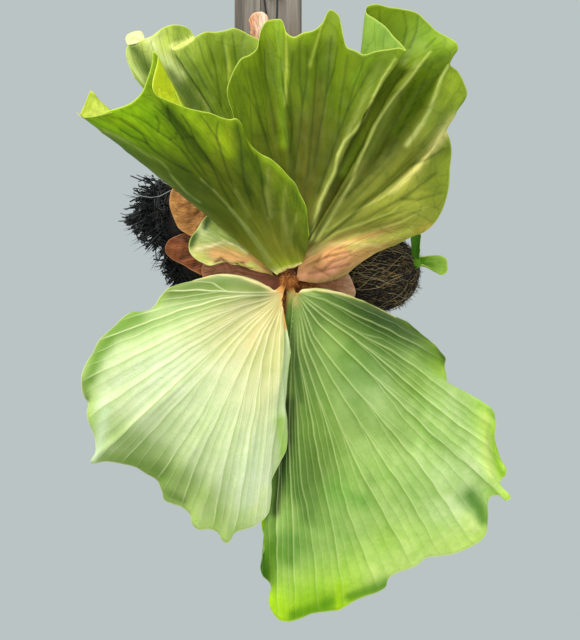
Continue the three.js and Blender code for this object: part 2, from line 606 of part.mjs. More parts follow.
// A nail driven into the plank's front: shank and head turned in one profile, axis along Y.
function nailSolid(side, grown = 0) {
  const { shank, head, headThickness, standsOut, sunk } = nail;
  const under = standsOut - headThickness;
  const profile = [
    [0, -sunk - grown], [shank / 2 + grown, -sunk - grown], [shank / 2 + grown, under],
    [head / 2, under], [head / 2, standsOut - 0.5], [head / 2 - 0.8, standsOut], [0, standsOut],
  ];
  const geometry = new THREE.LatheGeometry(profile.map(([x, y]) => new THREE.Vector2(x, y)), 10);
  geometry.rotateX(Math.PI);
  geometry.translate(nail.middle + side * nail.spread / 2, -plank.thickness, nailHeight);
  return solidOf(geometry);
}

function tube(points, radius, steps) {
  const section = new THREE.Shape();
  section.absarc(0, 0, radius, 0, Math.PI * 2);
  const extrudePath = new THREE.CatmullRomCurve3(points, false, 'centripetal');
  return solidOf(new THREE.ExtrudeGeometry(section, {
    steps, curveSegments: 4, bevelEnabled: false, extrudePath,
  }));
}

// The tie wire rises from the roots, passes over both nails and goes down into the roots again.
function tieWireSolid(grown = 0) {
  const radius = tieWire.thickness / 2;
  const lie = -plank.thickness - radius - seatGap;
  const over = nail.shank / 2 + radius + seatGap + tieWire.slack;
  const at = (x, z) => new THREE.Vector3(x, lie, z);
  const nailAt = (side) => nail.middle + side * nail.spread / 2;
  const loop = [at(nailAt(-1) - over, nailHeight - 12), at(nailAt(-1) - over, nailHeight - 6)];
  for (const side of [-1, 1]) {
    for (let turn = 0; turn <= 6; turn += 1) {
      const angle = (Math.PI / 12) * (side < 0 ? 12 - turn : 6 - turn);
      loop.push(at(nailAt(side) + Math.cos(angle) * over, nailHeight + Math.sin(angle) * over));
    }
  }
  loop.push(at(nailAt(1) + over, nailHeight - 6), at(nailAt(1) + over, nailHeight - 12));
  const top = nailHeight - 9;
  const strands = [
    [at(nailAt(-1) - over, top), at(nailAt(-1) - over + 0.2, top - 12), at(-1.8, 246), at(1, 150),
      at(2, 20)],
    [at(nailAt(1) + over, top), at(nailAt(1) + over - 0.1, top - 12), at(11.6, 246), at(10, 150),
      at(9, 20)],
  ];
  return strands.reduce((wire, strand) => wire.add(tube(strand, radius + grown, tieWire.strandSteps)),
    tube(loop, radius + grown, tieWire.loopSteps));
}

// An ellipsoid lump whose surface rises and falls a little.
function lumpSolid({ middle, half }, around, upDown, bumps = 0.04, grown = 0) {
  const geometry = new THREE.SphereGeometry(1, around, upDown);
  const place = geometry.attributes.position;
  const centre = seen(middle);
  for (let i = 0; i < place.count; i += 1) {
    const p = new THREE.Vector3().fromBufferAttribute(place, i);
    const swell = 1 + bumps * Math.sin(7 * p.x + 3 * p.y) * Math.cos(5 * p.z - 4 * p.y);
    place.setXYZ(i, centre.x + p.x * (half[0] * swell + grown),
      centre.y + p.z * (half[2] * swell + grown), centre.z + p.y * (half[1] * swell + grown));
  }
  geometry.index.array.reverse();
  return solidOf(geometry);
}

// One root end: a three-sided spike, its foot sunk well into the lump.
function rootEnd(foot, direction, length) {
  const sunk = 9;
  const spike = new THREE.ConeGeometry(rootEndRadius, length + sunk, 3);
  spike.translate(0, (length - sunk) / 2, 0);
  const turn = new THREE.Quaternion().setFromUnitVectors(new THREE.Vector3(0, 1, 0), direction);
  spike.applyQuaternion(turn);
  spike.translate(foot.x, foot.y, foot.z);
  return solidOf(spike);
}

function rootEndsOf({ lump, count, length, lean, spread }) {
  const { middle, half } = rootLumps[lump];
  const centre = seen(middle);
  const towards = new THREE.Vector3(lean[0], lean[2], lean[1]);
  const spikes = [];
  for (let i = 0; i < count; i += 1) {
    const outward = new THREE.Vector3(random() - 0.5, random() * 0.7 - 0.35, random() - 0.5)
      .multiplyScalar(2 * spread).add(towards).normalize();
    const foot = new THREE.Vector3(centre.x + outward.x * half[0],
      centre.y + outward.y * half[2], centre.z + outward.z * half[1]);
    const direction = outward.clone().add(new THREE.Vector3(
      (random() - 0.5) * 0.5, (random() - 0.5) * 0.5, (random() - 0.5) * 0.5 - 0.12)).normalize();
    spikes.push(rootEnd(foot, direction, length[0] + (length[1] - length[0]) * random()));
  }
  return spikes;
}

function rootBallSolid(seats) {
  let ball = rootLumps.map((lump) => lumpSolid(lump, 14, 9))
    .reduce((sum, lump) => sum.add(lump));
  for (const group of rootEnds) {
    for (const spike of rootEndsOf(group)) ball = ball.add(spike);
  }
  const wallSide = new THREE.BoxGeometry(700, 200, 700);
  wallSide.translate(0, 100 - plank.thickness - seatGap, 0);
  ball = ball.subtract(solidOf(wallSide));
  for (const seat of seats) ball = ball.subtract(seat);
  return mainBody(ball);
}

// The growing point: a short thick stem with a scaly bud, which every frond rises from.
function rhizomeSolid(grown = 0) {
  const { stem, bud, scales } = rhizome;
  const centre = seen(bud.middle);
  let solid = lumpSolid(stem, 14, 9, 0.03, grown).add(lumpSolid(bud, 10, 7, 0.03, grown));
  for (let i = 0; i < scales; i += 1) {
    const turn = i * 2.4;
    const ring = 0.35 + 0.5 * (i / scales);
    const scale = new THREE.ConeGeometry(2.6 + grown, 8 + 2 * grown, 4);
    scale.rotateX(-Math.PI / 2);
    scale.translate(centre.x + Math.cos(turn) * bud.half[0] * ring,
      centre.y - bud.half[2] * Math.sqrt(1 - ring * ring) - 1,
      centre.z + Math.sin(turn) * bud.half[1] * ring);
    solid = solid.add(solidOf(scale));
  }
  return solid;
}

// A node that is a frond with any lobes of its own, and the grown form that cuts its seat.
function frondNode(name, look, ...blades) {
  const shape = (piece, grown) => (piece.rim ? bladeSolid(piece, grown) : lumpSolid(piece, 10, 6, 0, grown));
  const join = (grown) => blades.map((piece) => shape(piece, grown))
    .reduce((sum, piece) => sum.add(piece));
  return { name, look, solid: mainBody(join(0)), seat: join(seatGap + seatSlack) };
}

const fronds = [
  frondNode('shield_front_left', finish.shieldGreen, shieldFrontLeft, frontLeftTipLobe, frontLeftSpikeLobe),
  frondNode('shield_centre_right', finish.shieldGreen, shieldCentreRight),
  frondNode('shield_back_left', finish.shieldPale, shieldBackLeft, backLeftLobe),
  frondNode('shield_lower_left', finish.shieldMint, shieldLowerLeft),
  frondNode('dry_shield_lower_left', finish.dryMauve, dryShieldLowerLeft),
  frondNode('dry_shield_tan_left', finish.dryTan, dryShieldTanLeft),
  frondNode('dry_shield_rust_left', finish.dryRust, dryShieldRustLeft),
  frondNode('dry_shield_right', finish.dryTan, dryShieldRight),
  frondNode('dry_shield_back', finish.dryTan, dryShieldBack),
  frondNode('fertile_frond_left', finish.feltPale, fertileLeft),
  frondNode('fertile_frond_right', finish.feltGreen, fertileRight),
  frondNode('pup', finish.pupGreen, pupBud, pupStrap, pupRound),
];

const frondSeats = fronds.map((frond) => frond.seat);
const budSolid = mainBody(frondSeats.reduce((bud, seat) => bud.subtract(seat), rhizomeSolid()));
const wireSolid = tieWireSolid();
const rootSeats = [...frondSeats, rhizomeSolid(seatGap), tieWireSolid(seatGap)];
const nailSeats = [nailSolid(-1, seatGap), nailSolid(1, seatGap)];

const fern = new THREE.Group();
fern.name = 'mounted_staghorn_fern';
fern.add(
  meshOf('plank', nailSeats.reduce((wood, seat) => wood.subtract(seat), plankSolid()), finish.wood),
  meshOf('nail_left', nailSolid(-1), finish.steel),
  meshOf('nail_right', nailSolid(1), finish.steel),
  meshOf('tie_wire', wireSolid, finish.wire),
  meshOf('root_ball', rootBallSolid(rootSeats), finish.roots),
  meshOf('rhizome', budSolid, finish.bud),
);
for (const { name, solid, look } of fronds) fern.add(meshOf(name, solid, look));

export default fern;
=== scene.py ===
import math

import bpy
import numpy as np
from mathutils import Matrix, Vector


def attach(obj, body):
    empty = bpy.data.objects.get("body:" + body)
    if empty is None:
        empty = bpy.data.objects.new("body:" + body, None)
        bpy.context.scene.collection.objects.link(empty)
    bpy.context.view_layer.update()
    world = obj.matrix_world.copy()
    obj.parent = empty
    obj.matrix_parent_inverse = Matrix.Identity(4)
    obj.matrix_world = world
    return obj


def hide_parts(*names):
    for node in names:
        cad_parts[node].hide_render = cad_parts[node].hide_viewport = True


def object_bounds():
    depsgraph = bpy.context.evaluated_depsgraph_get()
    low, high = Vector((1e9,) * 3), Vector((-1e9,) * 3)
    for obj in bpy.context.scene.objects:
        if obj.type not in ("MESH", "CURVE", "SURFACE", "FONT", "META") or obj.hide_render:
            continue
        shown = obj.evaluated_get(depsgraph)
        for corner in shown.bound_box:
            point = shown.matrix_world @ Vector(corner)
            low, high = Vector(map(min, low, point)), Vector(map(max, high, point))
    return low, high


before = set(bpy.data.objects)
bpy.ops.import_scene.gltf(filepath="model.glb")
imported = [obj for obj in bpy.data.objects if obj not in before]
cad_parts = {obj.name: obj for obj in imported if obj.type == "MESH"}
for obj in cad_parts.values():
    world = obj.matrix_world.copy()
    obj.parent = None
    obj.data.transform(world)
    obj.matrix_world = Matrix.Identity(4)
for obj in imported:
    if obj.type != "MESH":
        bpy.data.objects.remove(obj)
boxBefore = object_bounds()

mm = 0.001

# Outlines are [across, up, out] in millimetres: out is the distance from the wall, across and up
# are as seen from eyeDistance in front of growingOut, round an axis beside the plank's middle.
axisAcross = 30
axisUp = -170
eyeDistance = 1500
growingOut = 165

# Each frond is a rim, drawn from one side to the other, and ribs, each the number of the rim point
# that it ends at and its points from the root on. The surface passes through all of them. u is 0 to
# 1 along the rim, and v is 0 at the root and 1 at the rim: the ribs' points lie at stations of v,
# evenly where there are none, and the rim's own waves fade towards the root with the power rimReach
# of v. Thicknesses are in millimetres, detail is how strongly veins show, and look is what it
# changes of its leaf's look.
greenBlade = {
  "thickness": 1.7, "rootThickness": 3, "rimReach": 3, "stations": None, "detail": 1.0, "look": {},
}
dryBlade = {**greenBlade, "thickness": 1.6, "rootThickness": 2}
feltedBlade = {**greenBlade, "thickness": 1.8, "rootThickness": 5}
pupBlade = {**greenBlade, "thickness": 1.6, "rootThickness": 2.4, "rimReach": 2}
lobe = {**greenBlade, "thickness": 1.3, "rootThickness": 1.3, "rimReach": 2, "detail": 0.0}

shieldFrontLeft = {
  **greenBlade, "rootThickness": 3.5,
  "rim": [
    [-267, 260, 186], [-260, 254, 196], [-250, 254, 203], [-237, 257, 209], [-225, 262, 214],
    [-212, 266, 218], [-200, 271, 222], [-190, 279, 226], [-184, 287, 229], [-179, 300, 231],
    [-175, 312, 232], [-172, 325, 232], [-171, 336, 231], [-166, 332, 233], [-166, 322, 236],
    [-169, 310, 240], [-172, 297, 243], [-172, 290, 245], [-169, 283, 246], [-156, 276, 245],
    [-144, 271, 243], [-131, 266, 240], [-116, 262, 236], [-100, 259, 231], [-85, 253, 225],
    [-75, 251, 220], [-67, 252, 216], [-61, 246, 213], [-57, 234, 210], [-50, 220, 206],
    [-35, 207, 202], [-25, 202, 200], [-15, 194, 197], [-2, 180, 193], [7, 170, 190],
    [12, 159, 187], [20, 142, 184], [22, 125, 180], [24, 106, 177],
  ],
  "ribs": [
    [0, [-16, 56, 158.3], [-94, 122, 168], [-177, 189, 176]],
    [3, [-14, 59, 158.3], [-80, 131, 186], [-156, 200, 200]],
    [6, [-11, 60, 158.3], [-70, 135, 193], [-135, 204, 213]],
    [8, [-9, 61, 158.3], [-64, 140, 196], [-122, 215, 221]],
    [18, [-6, 62, 158.3], [-57, 142, 198], [-112, 216, 230]],
    [21, [-4, 64, 158.3], [-45, 142, 198], [-89, 210, 228]],
    [25, [0, 65, 158.3], [-32, 135, 196], [-60, 194, 218]],
    [29, [5, 66, 158.3], [-16, 122, 188], [-32, 172, 200]],
    [33, [10, 69, 158.3], [2, 105, 181], [0, 144, 188]],
    [36, [14, 71, 158.3], [12, 94, 176], [17, 119, 181]],
    [38, [16, 74, 158.3], [20, 84, 171], [22, 95, 174]],
  ],
}

# Small lobes that turn over behind a rim, with looks of their own: one at the front shield's far
# tip, one by its spike and one on the back shield.
bareTones = {"bands": [], "patches": [], "strokes": []}
tipLook = {**bareTones, "veins": 3, "colour": (166, 178, 66), "bands": [((150, 166, 44), 0.2, 1.0)]}
spikeLook = {**bareTones, "veins": 3, "colour": (160, 172, 24), "bands": [((136, 154, 14), 0.2, 1.0)],
             "underShare": 0.0}
backLobeLook = {**bareTones, "veins": 2, "colour": (200, 204, 148)}

frontLeftTipLobe = {
  **lobe, "look": tipLook,
  "rim": [[-262, 257, 193], [-256, 271, 187], [-249, 286, 182], [-238, 275, 190], [-225, 263, 203]],
  "ribs": [
    [0, [-257, 252, 198]],
    [2, [-241, 254, 207]],
    [4, [-222, 259, 215]],
  ],
}

frontLeftSpikeLobe = {
  **lobe, "look": spikeLook,
  "rim": [
    [-166, 325, 229], [-161, 319, 226], [-155, 309, 227], [-146, 293, 231], [-139, 277, 236],
    [-134, 266, 240],
  ],
  "ribs": [
    [0, [-171, 288, 244]],
    [3, [-158, 275, 244.5]],
    [5, [-134, 265, 240.5]],
  ],
}

shieldCentreRight = {
  **greenBlade,
  "rim": [
    [-65, 212, 167], [-72, 260, 170], [-79, 287, 168], [-74, 304, 163], [-67, 319, 160],
    [-61, 327, 158], [-50, 332, 154], [-42, 339, 150], [-39, 351, 144], [-36, 364, 139],
    [-29, 374, 135], [-20, 376, 134], [-12, 376, 136], [-7, 367, 142], [-4, 359, 148],
    [5, 354, 152], [16, 359, 152], [29, 362, 150], [39, 370, 146], [44, 379, 143],
    [50, 388, 142], [60, 382, 146], [64, 370, 152], [67, 356, 160], [72, 341, 168],
    [82, 337, 176], [92, 332, 182], [107, 336, 188], [126, 339, 193], [139, 340, 196],
    [145, 337, 196], [139, 345, 190], [130, 354, 182], [119, 367, 172], [107, 376, 163],
    [95, 385, 154], [96, 392, 148], [107, 395, 143], [125, 391, 140], [140, 389, 138],
    [159, 384, 138], [170, 374, 142], [184, 361, 148], [200, 352, 156], [209, 345, 162],
    [210, 339, 162], [205, 330, 156], [199, 320, 152], [209, 312, 150], [216, 300, 151],
    [221, 280, 152], [211, 267, 146], [206, 255, 140], [195, 239, 134], [200, 225, 138],
    [202, 209, 144], [200, 190, 148], [199, 169, 148], [194, 147, 146], [185, 127, 143],
    [171, 112, 140], [152, 104, 138], [132, 94, 137], [112, 86, 138], [95, 76, 140],
    [80, 65, 142], [71, 57, 144],
  ],
  "ribs": [
    [0, [0.5, 66, 154.5], [-12, 110, 157], [-36, 162, 162]],
    [2, [0.9, 66.3, 154.5], [-19, 135, 160], [-50, 209, 165]],
    [5, [1.4, 66.7, 154.5], [-12, 147, 158], [-39, 235, 158]],
    [8, [1.9, 67, 154.5], [-6, 162, 155], [-26, 262, 148]],
    [12, [2.3, 67.4, 154.5], [0, 172, 160], [-6, 277, 154]],
    [15, [2.8, 67.8, 154.5], [7, 166, 157], [7, 262, 152]],
    [18, [3.2, 68.1, 154.5], [16, 171, 161], [27, 271, 155]],
    [21, [3.6, 68.5, 154.5], [25, 175, 161], [44, 279, 155]],
    [24, [4.1, 68.8, 154.5], [30, 165, 164], [52, 254, 163]],
    [27, [4.5, 69.2, 154.5], [37, 162, 168], [75, 252, 177]],
    [30, [5, 69.5, 154.5], [50, 170, 172], [97, 266, 188]],
    [33, [5.5, 69.8, 154.5], [51, 172, 166], [90, 271, 174]],
    [35, [5.9, 70.2, 154.5], [52, 175, 160], [80, 277, 158]],
    [38, [6.4, 70.5, 154.5], [59, 177, 158], [105, 282, 153]],
    [41, [6.8, 70.9, 154.5], [69, 181, 160], [126, 287, 158]],
    [43, [7.2, 71.2, 154.5], [79, 187, 167], [142, 295, 172]],
    [46, [7.7, 71.6, 154.5], [92, 185, 156], [161, 277, 146]],
    [47, [8.2, 72, 154.5], [105, 177, 161], [171, 260, 162]],
    [50, [8.6, 72.3, 154.5], [117, 165, 158], [184, 231, 154]],
    [53, [9.1, 72.7, 154.5], [125, 152, 162], [169, 199, 160]],
    [56, [9.4, 71, 154.5], [115, 134, 160], [162, 166, 157]],
    [59, [10, 68.5, 154.5], [95, 111, 158], [144, 126, 154]],
    [61, [10, 65.5, 154], [71, 94, 158], [116, 104, 151]],
    [63, [9.4, 61, 153.5], [50, 77, 158], [85, 84, 151]],
    [66, [7.5, 50, 152.5], [31, 46, 153], [52, 49, 150]],
  ],
}

shieldBackLeft = {
  **greenBlade,
  "rim": [
    [-195, 304, 104], [-201, 317, 98], [-205, 335, 92], [-202, 344, 90], [-192, 347, 90],
    [-182, 351, 89], [-174, 354, 88], [-166, 360, 86], [-157, 366, 83], [-145, 369, 80],
    [-132, 367, 79], [-124, 362, 80], [-121, 357, 84], [-130, 349, 92], [-140, 344, 97],
    [-147, 340, 101], [-136, 342, 105], [-125, 350, 104], [-115, 356, 101], [-106, 360, 97],
    [-94, 360, 94], [-81, 362, 92], [-71, 365, 90], [-61, 362, 92], [-50, 356, 96],
    [-41, 352, 99], [-27, 344, 104], [-15, 325, 110],
  ],
  "ribs": [
    [0, [-11, 77, 142], [-67, 150, 135], [-130, 225, 122]],
    [5, [-10, 79, 142], [-62, 165, 133], [-121, 256, 114]],
    [9, [-9, 80, 142], [-55, 175, 131], [-99, 271, 108]],
    [12, [-7.5, 80.5, 142], [-52, 175, 133], [-91, 266, 112]],
    [15, [-6, 81, 142], [-51, 174, 137], [-95, 259, 124]],
    [18, [-4.5, 81.3, 142], [-46, 177, 136], [-82, 270, 120]],
    [22, [-2.5, 81.5, 142], [-30, 182, 133], [-52, 276, 112]],
    [25, [0, 81.3, 142], [-17, 177, 134], [-31, 267, 116]],
    [27, [2.5, 80.5, 142], [-5, 165, 135], [-11, 245, 122]],
  ],
}

backLeftLobe = {
  **lobe, "look": backLobeLook,
  "rim": [[-206, 351, 84], [-203, 357, 79], [-196, 360, 76], [-187, 361, 77], [-182, 355, 82]],
  "ribs": [
    [0, [-203, 343, 90]],
    [2, [-192, 345.5, 90]],
    [4, [-181, 350, 89]],
  ],
}

shieldLowerLeft = {
  **greenBlade, "rootThickness": 2.4,
  "rim": [
    [-97, 134, 151], [-104, 131, 152], [-110, 124, 152], [-116, 114, 154], [-124, 104, 154],
    [-127, 94, 154], [-126, 86, 154], [-119, 77, 156], [-109, 71, 158], [-99, 68, 160],
    [-91, 72, 160], [-81, 72, 160], [-70, 69, 160], [-59, 70, 159], [-49, 74, 157],
  ],
  "ribs": [
    [0, [-24, 64, 151.4], [-49, 87, 155], [-72, 111, 153]],
    [4, [-23, 61, 151.3], [-55, 77, 158], [-89, 92, 158]],
    [8, [-22, 59, 151.3], [-50, 66, 159], [-79, 76, 161]],
    [12, [-22, 57, 151.3], [-37, 61, 158], [-54, 66, 160]],
    [14, [-21, 55, 151.3], [-30, 61, 156], [-39, 67, 157]],
  ],
}

dryShieldLowerLeft = {
  **dryBlade, "rootThickness": 2.4,
  "rim": [
    [-105, 77, 146], [-110, 67, 145], [-110, 56, 145], [-100, 45, 145], [-77, 36, 147],
    [-50, 32, 149],
  ],
  "ribs": [
    [0, [-11, 54, 148], [-50, 65, 150], [-77, 74, 149]],
    [2, [-10, 48, 148], [-50, 51, 152], [-80, 54, 150]],
    [5, [-8.5, 40, 149], [-29, 37, 151], [-39, 35, 151]],
  ],
}

dryShieldTanLeft = {
  **dryBlade,
  "rim": [
    [-132, 167, 122], [-145, 166, 118], [-150, 155, 116], [-150, 142, 116], [-146, 129, 118],
    [-140, 116, 121], [-132, 109, 125], [-124, 106, 129], [-115, 110, 133],
  ],
  "ribs": [
    [0, [-80, 142, 111], [-97, 152, 119], [-115, 161, 122]],
    [3, [-77, 135, 112], [-100, 139, 122], [-125, 141, 124]],
    [6, [-76, 127, 112], [-95, 121, 121], [-114, 114, 125]],
    [8, [-76, 121, 112], [-90, 118, 121], [-102, 114, 127]],
  ],
}

dryShieldRustLeft = {
  **dryBlade,
  "rim": [
    [-122, 108, 121], [-132, 108, 117], [-142, 105, 114], [-151, 100, 112], [-156, 92, 111],
    [-156, 85, 111], [-149, 77, 113], [-136, 70, 117], [-125, 64, 121], [-112, 56, 126],
  ],
  "ribs": [
    [0, [-80, 100, 110], [-95, 102, 114], [-109, 105, 116]],
    [4, [-77, 90, 110], [-102, 91, 114], [-130, 92, 116]],
    [7, [-77, 81, 109], [-96, 77, 114], [-116, 74, 117]],
    [9, [-77, 72, 108], [-89, 67, 114], [-100, 61, 119]],
  ],
}

dryShieldRight = {
  **dryBlade,
  "rim": [
    [67, 67, 134], [75, 54, 132], [80, 42, 131], [82, 34, 131], [77, 24, 132], [62, 17, 135],
  ],
  "ribs": [
    [0, [22, 60, 142], [37, 62, 142], [52, 65, 139]],
    [3, [24, 50, 142], [44, 44, 143], [64, 39, 138]],
    [5, [22, 41, 142], [36, 32, 143], [50, 25, 140]],
  ],
}

dryShieldBack = {
  **dryBlade, "rootThickness": 2.4,
  "rim": [
    [-49, 344, 42], [-50, 362, 38], [-51, 376, 36], [-47, 382, 34], [-41, 384, 33],
    [-35, 385, 33], [-29, 381, 35], [-26, 372, 37], [-29, 356, 40], [-27, 340, 43],
  ],
  "ribs": [
    [0, [-37, 212, 62], [-41, 262, 58], [-46, 305, 50]],
    [5, [-29, 213, 64], [-31, 277, 58], [-34, 331, 44]],
    [9, [-21, 212, 62], [-24, 262, 58], [-26, 302, 50]],
  ],
}

fertileLeft = {
  **feltedBlade, "stations": [0, 0.1, 0.37, 0.68, 1],
  "rim": [
    [-62, 54, 160], [-81, 57, 157], [-100, 55, 155], [-119, 50, 153], [-137, 45, 152],
    [-152, 39, 150], [-162, 29, 148], [-169, 19, 147], [-176, 14, 146], [-187, 12, 145],
    [-197, 11, 143], [-207, 6, 141], [-219, -5, 139], [-229, -14, 138], [-239, -25, 136],
    [-247, -39, 137], [-256, -55, 138], [-262, -74, 139], [-262, -86, 141], [-259, -96, 143],
    [-254, -105, 145], [-254, -115, 146], [-252, -125, 148], [-247, -139, 149],
    [-244, -151, 149], [-244, -162, 148], [-249, -179, 145], [-232, -181, 149],
    [-215, -184, 152], [-197, -187, 155], [-181, -194, 156], [-167, -202, 157],
    [-160, -214, 156], [-156, -224, 155], [-149, -228, 155], [-136, -234, 156],
    [-125, -244, 157], [-121, -255, 156], [-115, -261, 156], [-101, -263, 158],
    [-91, -268, 158], [-86, -275, 158], [-79, -279, 158], [-74, -276, 159], [-67, -267, 161],
    [-56, -263, 164], [-44, -258, 169], [-34, -250, 173], [-27, -241, 176], [-24, -227, 178],
    [-25, -212, 180], [-20, -195, 183], [-11, -176, 186], [-5, -161, 188], [-4, -147, 190],
    [-6, -130, 192], [-6, -110, 193], [-4, -87, 195], [-2, -62, 196], [1, -40, 196],
  ],
  "ribs": [
    [0, [-7.6, 47.5, 153], [-15.6, 39.5, 160], [-27, 41, 166], [-44, 50, 165]],
    [4, [-7.3, 47.5, 153], [-15.1, 38.1, 160.2], [-47, 42, 176], [-91, 45, 174]],
    [8, [-7.1, 47.5, 153], [-14.5, 37.1, 160.3], [-62, 31, 188], [-119, 22, 184]],
    [13, [-6.8, 47.5, 153], [-14, 36.2, 160.5], [-77, 21, 196], [-152, 2, 190]],
    [18, [-6.6, 47.5, 153], [-13.5, 35.3, 160.7], [-87, -2, 202], [-175, -42, 198]],
    [23, [-6.3, 47.5, 153], [-12.9, 34.5, 160.8], [-81, -22, 203], [-165, -80, 200]],
    [26, [-6.1, 47.5, 153], [-12.4, 33.8, 161], [-77, -31, 204], [-162, -102, 200]],
    [31, [-5.8, 47.5, 153], [-11.9, 33, 161.2], [-56, -40, 205], [-110, -119, 202]],
    [36, [-5.6, 47.5, 153], [-11.3, 32.3, 161.3], [-42, -52, 206], [-82, -146, 204]],
    [42, [-5.3, 47.5, 153], [-10.8, 31.6, 161.5], [-27, -65, 206], [-51, -169, 204]],
    [48, [-5.1, 47.5, 153], [-10.3, 30.9, 161.7], [-14, -55, 204], [-22, -146, 203]],
    [54, [-4.8, 47.5, 153], [-9.7, 30.2, 161.8], [-8, -25, 202], [-8, -85, 203]],
    [59, [-4.6, 47.5, 153], [-9.2, 29.5, 162], [-8, 12, 186], [-3, -15, 195]],
  ],
}

fertileRight = {
  **feltedBlade, "stations": [0, 0.08, 0.36, 0.68, 1],
  "rim": [
    [-30, -231, 160], [-35, -247, 158], [-35, -262, 156], [-31, -275, 154], [-32, -286, 152],
    [-37, -296, 151], [-39, -309, 150], [-35, -321, 150], [-27, -330, 150], [-24, -340, 150],
    [-26, -352, 149], [-22, -364, 148], [-14, -374, 147], [-1, -378, 146], [15, -375, 146],
    [31, -370, 146], [50, -367, 146], [66, -362, 146], [80, -354, 146], [95, -347, 146],
    [112, -341, 146], [121, -335, 146], [126, -325, 147], [134, -319, 147], [147, -314, 146],
    [161, -307, 145], [171, -299, 144], [187, -295, 142], [206, -290, 140], [222, -282, 139],
    [235, -274, 138], [245, -261, 138], [249, -246, 138], [251, -233, 139], [254, -225, 140],
    [261, -223, 141], [270, -227, 141], [276, -222, 140], [271, -212, 139], [266, -202, 139],
    [271, -195, 138], [271, -187, 137], [266, -176, 136], [261, -162, 136], [257, -146, 137],
    [257, -130, 139], [255, -116, 141], [246, -106, 141], [234, -101, 140], [220, -96, 139],
    [209, -89, 138], [200, -77, 137], [197, -62, 136], [197, -47, 136], [190, -37, 138],
    [180, -26, 140], [167, -16, 142], [151, -4, 144], [131, 4, 146], [112, 14, 149],
    [90, 24, 152], [69, 32, 155], [50, 37, 158],
  ],
  "ribs": [
    [0, [-2, 47.5, 152], [-4.6, 26, 160], [-7, -52, 170], [-20, -144, 168]],
    [7, [-1.6, 47.5, 152], [-3.7, 26.5, 160], [-4, -81, 178], [-19, -200, 176]],
    [13, [-1.2, 47.5, 152], [-2.7, 27.2, 160], [2, -100, 184], [0, -240, 182]],
    [20, [-0.7, 47.5, 152], [-1.8, 28, 160], [37, -90, 190], [75, -215, 190]],
    [27, [-0.3, 47.5, 152], [-0.8, 29, 160], [62, -75, 193], [125, -185, 193]],
    [32, [0.1, 47.5, 152], [0.1, 29.9, 160], [81, -60, 194], [165, -155, 194]],
    [37, [0.5, 47.5, 152], [1.1, 31, 160], [90, -47, 193], [180, -130, 193]],
    [43, [0.9, 47.5, 152], [2, 32.1, 160], [90, -25, 192], [177, -90, 190]],
    [48, [1.3, 47.5, 152], [3, 33.3, 160], [81, -7, 190], [157, -55, 186]],
    [53, [1.8, 47.5, 152], [3.9, 34.5, 160], [70, 10, 186], [135, -21, 180]],
    [58, [2.2, 47.5, 152], [4.9, 35.7, 160], [50, 27, 178], [92, 16, 170]],
    [62, [2.6, 47.5, 152], [5.8, 37, 160], [17, 38, 166], [34, 39, 164]],
  ],
}

# The young plant at the right edge: a strap leaf behind the big shield and a round one beside it.
pupStrap = {
  **pupBlade, "look": {"colour": (60, 104, 14), "bands": [((70, 122, 22), 0.4, 1.0)]},
  "rim": [[151, 104, 112], [156, 110, 112], [163, 108, 111], [163, 100, 110], [162, 90, 109]],
  "ribs": [
    [0, [150, 72, 96], [152, 86, 104]],
    [2, [155, 73, 97], [158, 88, 105]],
    [4, [159, 72, 98], [161, 80, 104]],
  ],
}

pupRound = {
  **pupBlade,
  "rim": [
    [166, 79, 98], [181, 81, 99], [190, 80, 98], [196, 76, 96], [197, 69, 95], [197, 61, 94],
    [190, 56, 94], [183, 59, 95], [175, 65, 96], [166, 70, 97],
  ],
  "ribs": [
    [0, [152, 76, 94], [159, 78, 96]],
    [3, [152, 73.5, 94], [172, 75, 98]],
    [6, [152, 71, 94], [170, 66, 97]],
    [9, [152, 68, 94], [159, 69, 96]],
  ],
}

# The young plant's bud, the growing point and the roots' lumps: middles and half widths, both
# [across, up, out].
pupBud = {"middle": [157, 72, 95], "half": [8, 8, 7]}
growingBud = {"middle": [-1.5, 53, 149], "half": [10, 10, 12]}
rootLumps = [
  {"middle": [-6, 122, 60], "half": [120, 108, 71]},
  {"middle": [-122, 134, 66], "half": [57, 58, 50]},
  {"middle": [-104, 72, 66], "half": [50, 40, 48]},
  {"middle": [104, 60, 72], "half": [57, 50, 54]},
  {"middle": [0, 50, 84], "half": [60, 40, 62]},
]


def fromScreen(red, green, blue):
  # A colour as a screen shows it, 0 to 255, made linear: ((c + 0.055) / 1.055) to the power 2.4.
  shown = np.array([red, green, blue]) / 255
  return np.where(shown < 0.04045, shown / 12.92, ((shown + 0.055) / 1.055) ** 2.4)


def seen(points):
  # Moves drawn points along the line of sight: across and up grow with the distance to the eye.
  points = np.asarray(points, float)
  nearness = (eyeDistance + growingOut - points[..., 2]) / eyeDistance
  x = axisAcross + points[..., 0] * nearness
  z = axisUp + points[..., 1] * nearness
  return np.stack([x, -points[..., 2], z], -1) * mm


def drawn(points):
  # The inverse of seen: across and up, in millimetres, of points in the row frame.
  nearness = (eyeDistance + growingOut + points[..., 1] / mm) / eyeDistance
  across = (points[..., 0] / mm - axisAcross) / nearness
  return across, (points[..., 2] / mm - axisUp) / nearness


def ease(low, high, x):
  # 0 below low, 1 above high, and 3t^2 - 2t^3 between them.
  t = np.clip((x - low) / (high - low), 0, 1)
  return t * t * (3 - 2 * t)


def unit(vectors):
  # Vectors divided by their lengths, which a hair keeps from being 0.
  return vectors / (np.linalg.norm(vectors, axis=-1, keepdims=True) + 1e-15)


anyPhase = (0, 6.3)
# How many waves an unevenness has, their lengths as shares of the one asked for, and what their sum
# is divided by.
planeWaves = {"count": 6, "lengths": (0.6, 1.5), "divisor": 3.2}


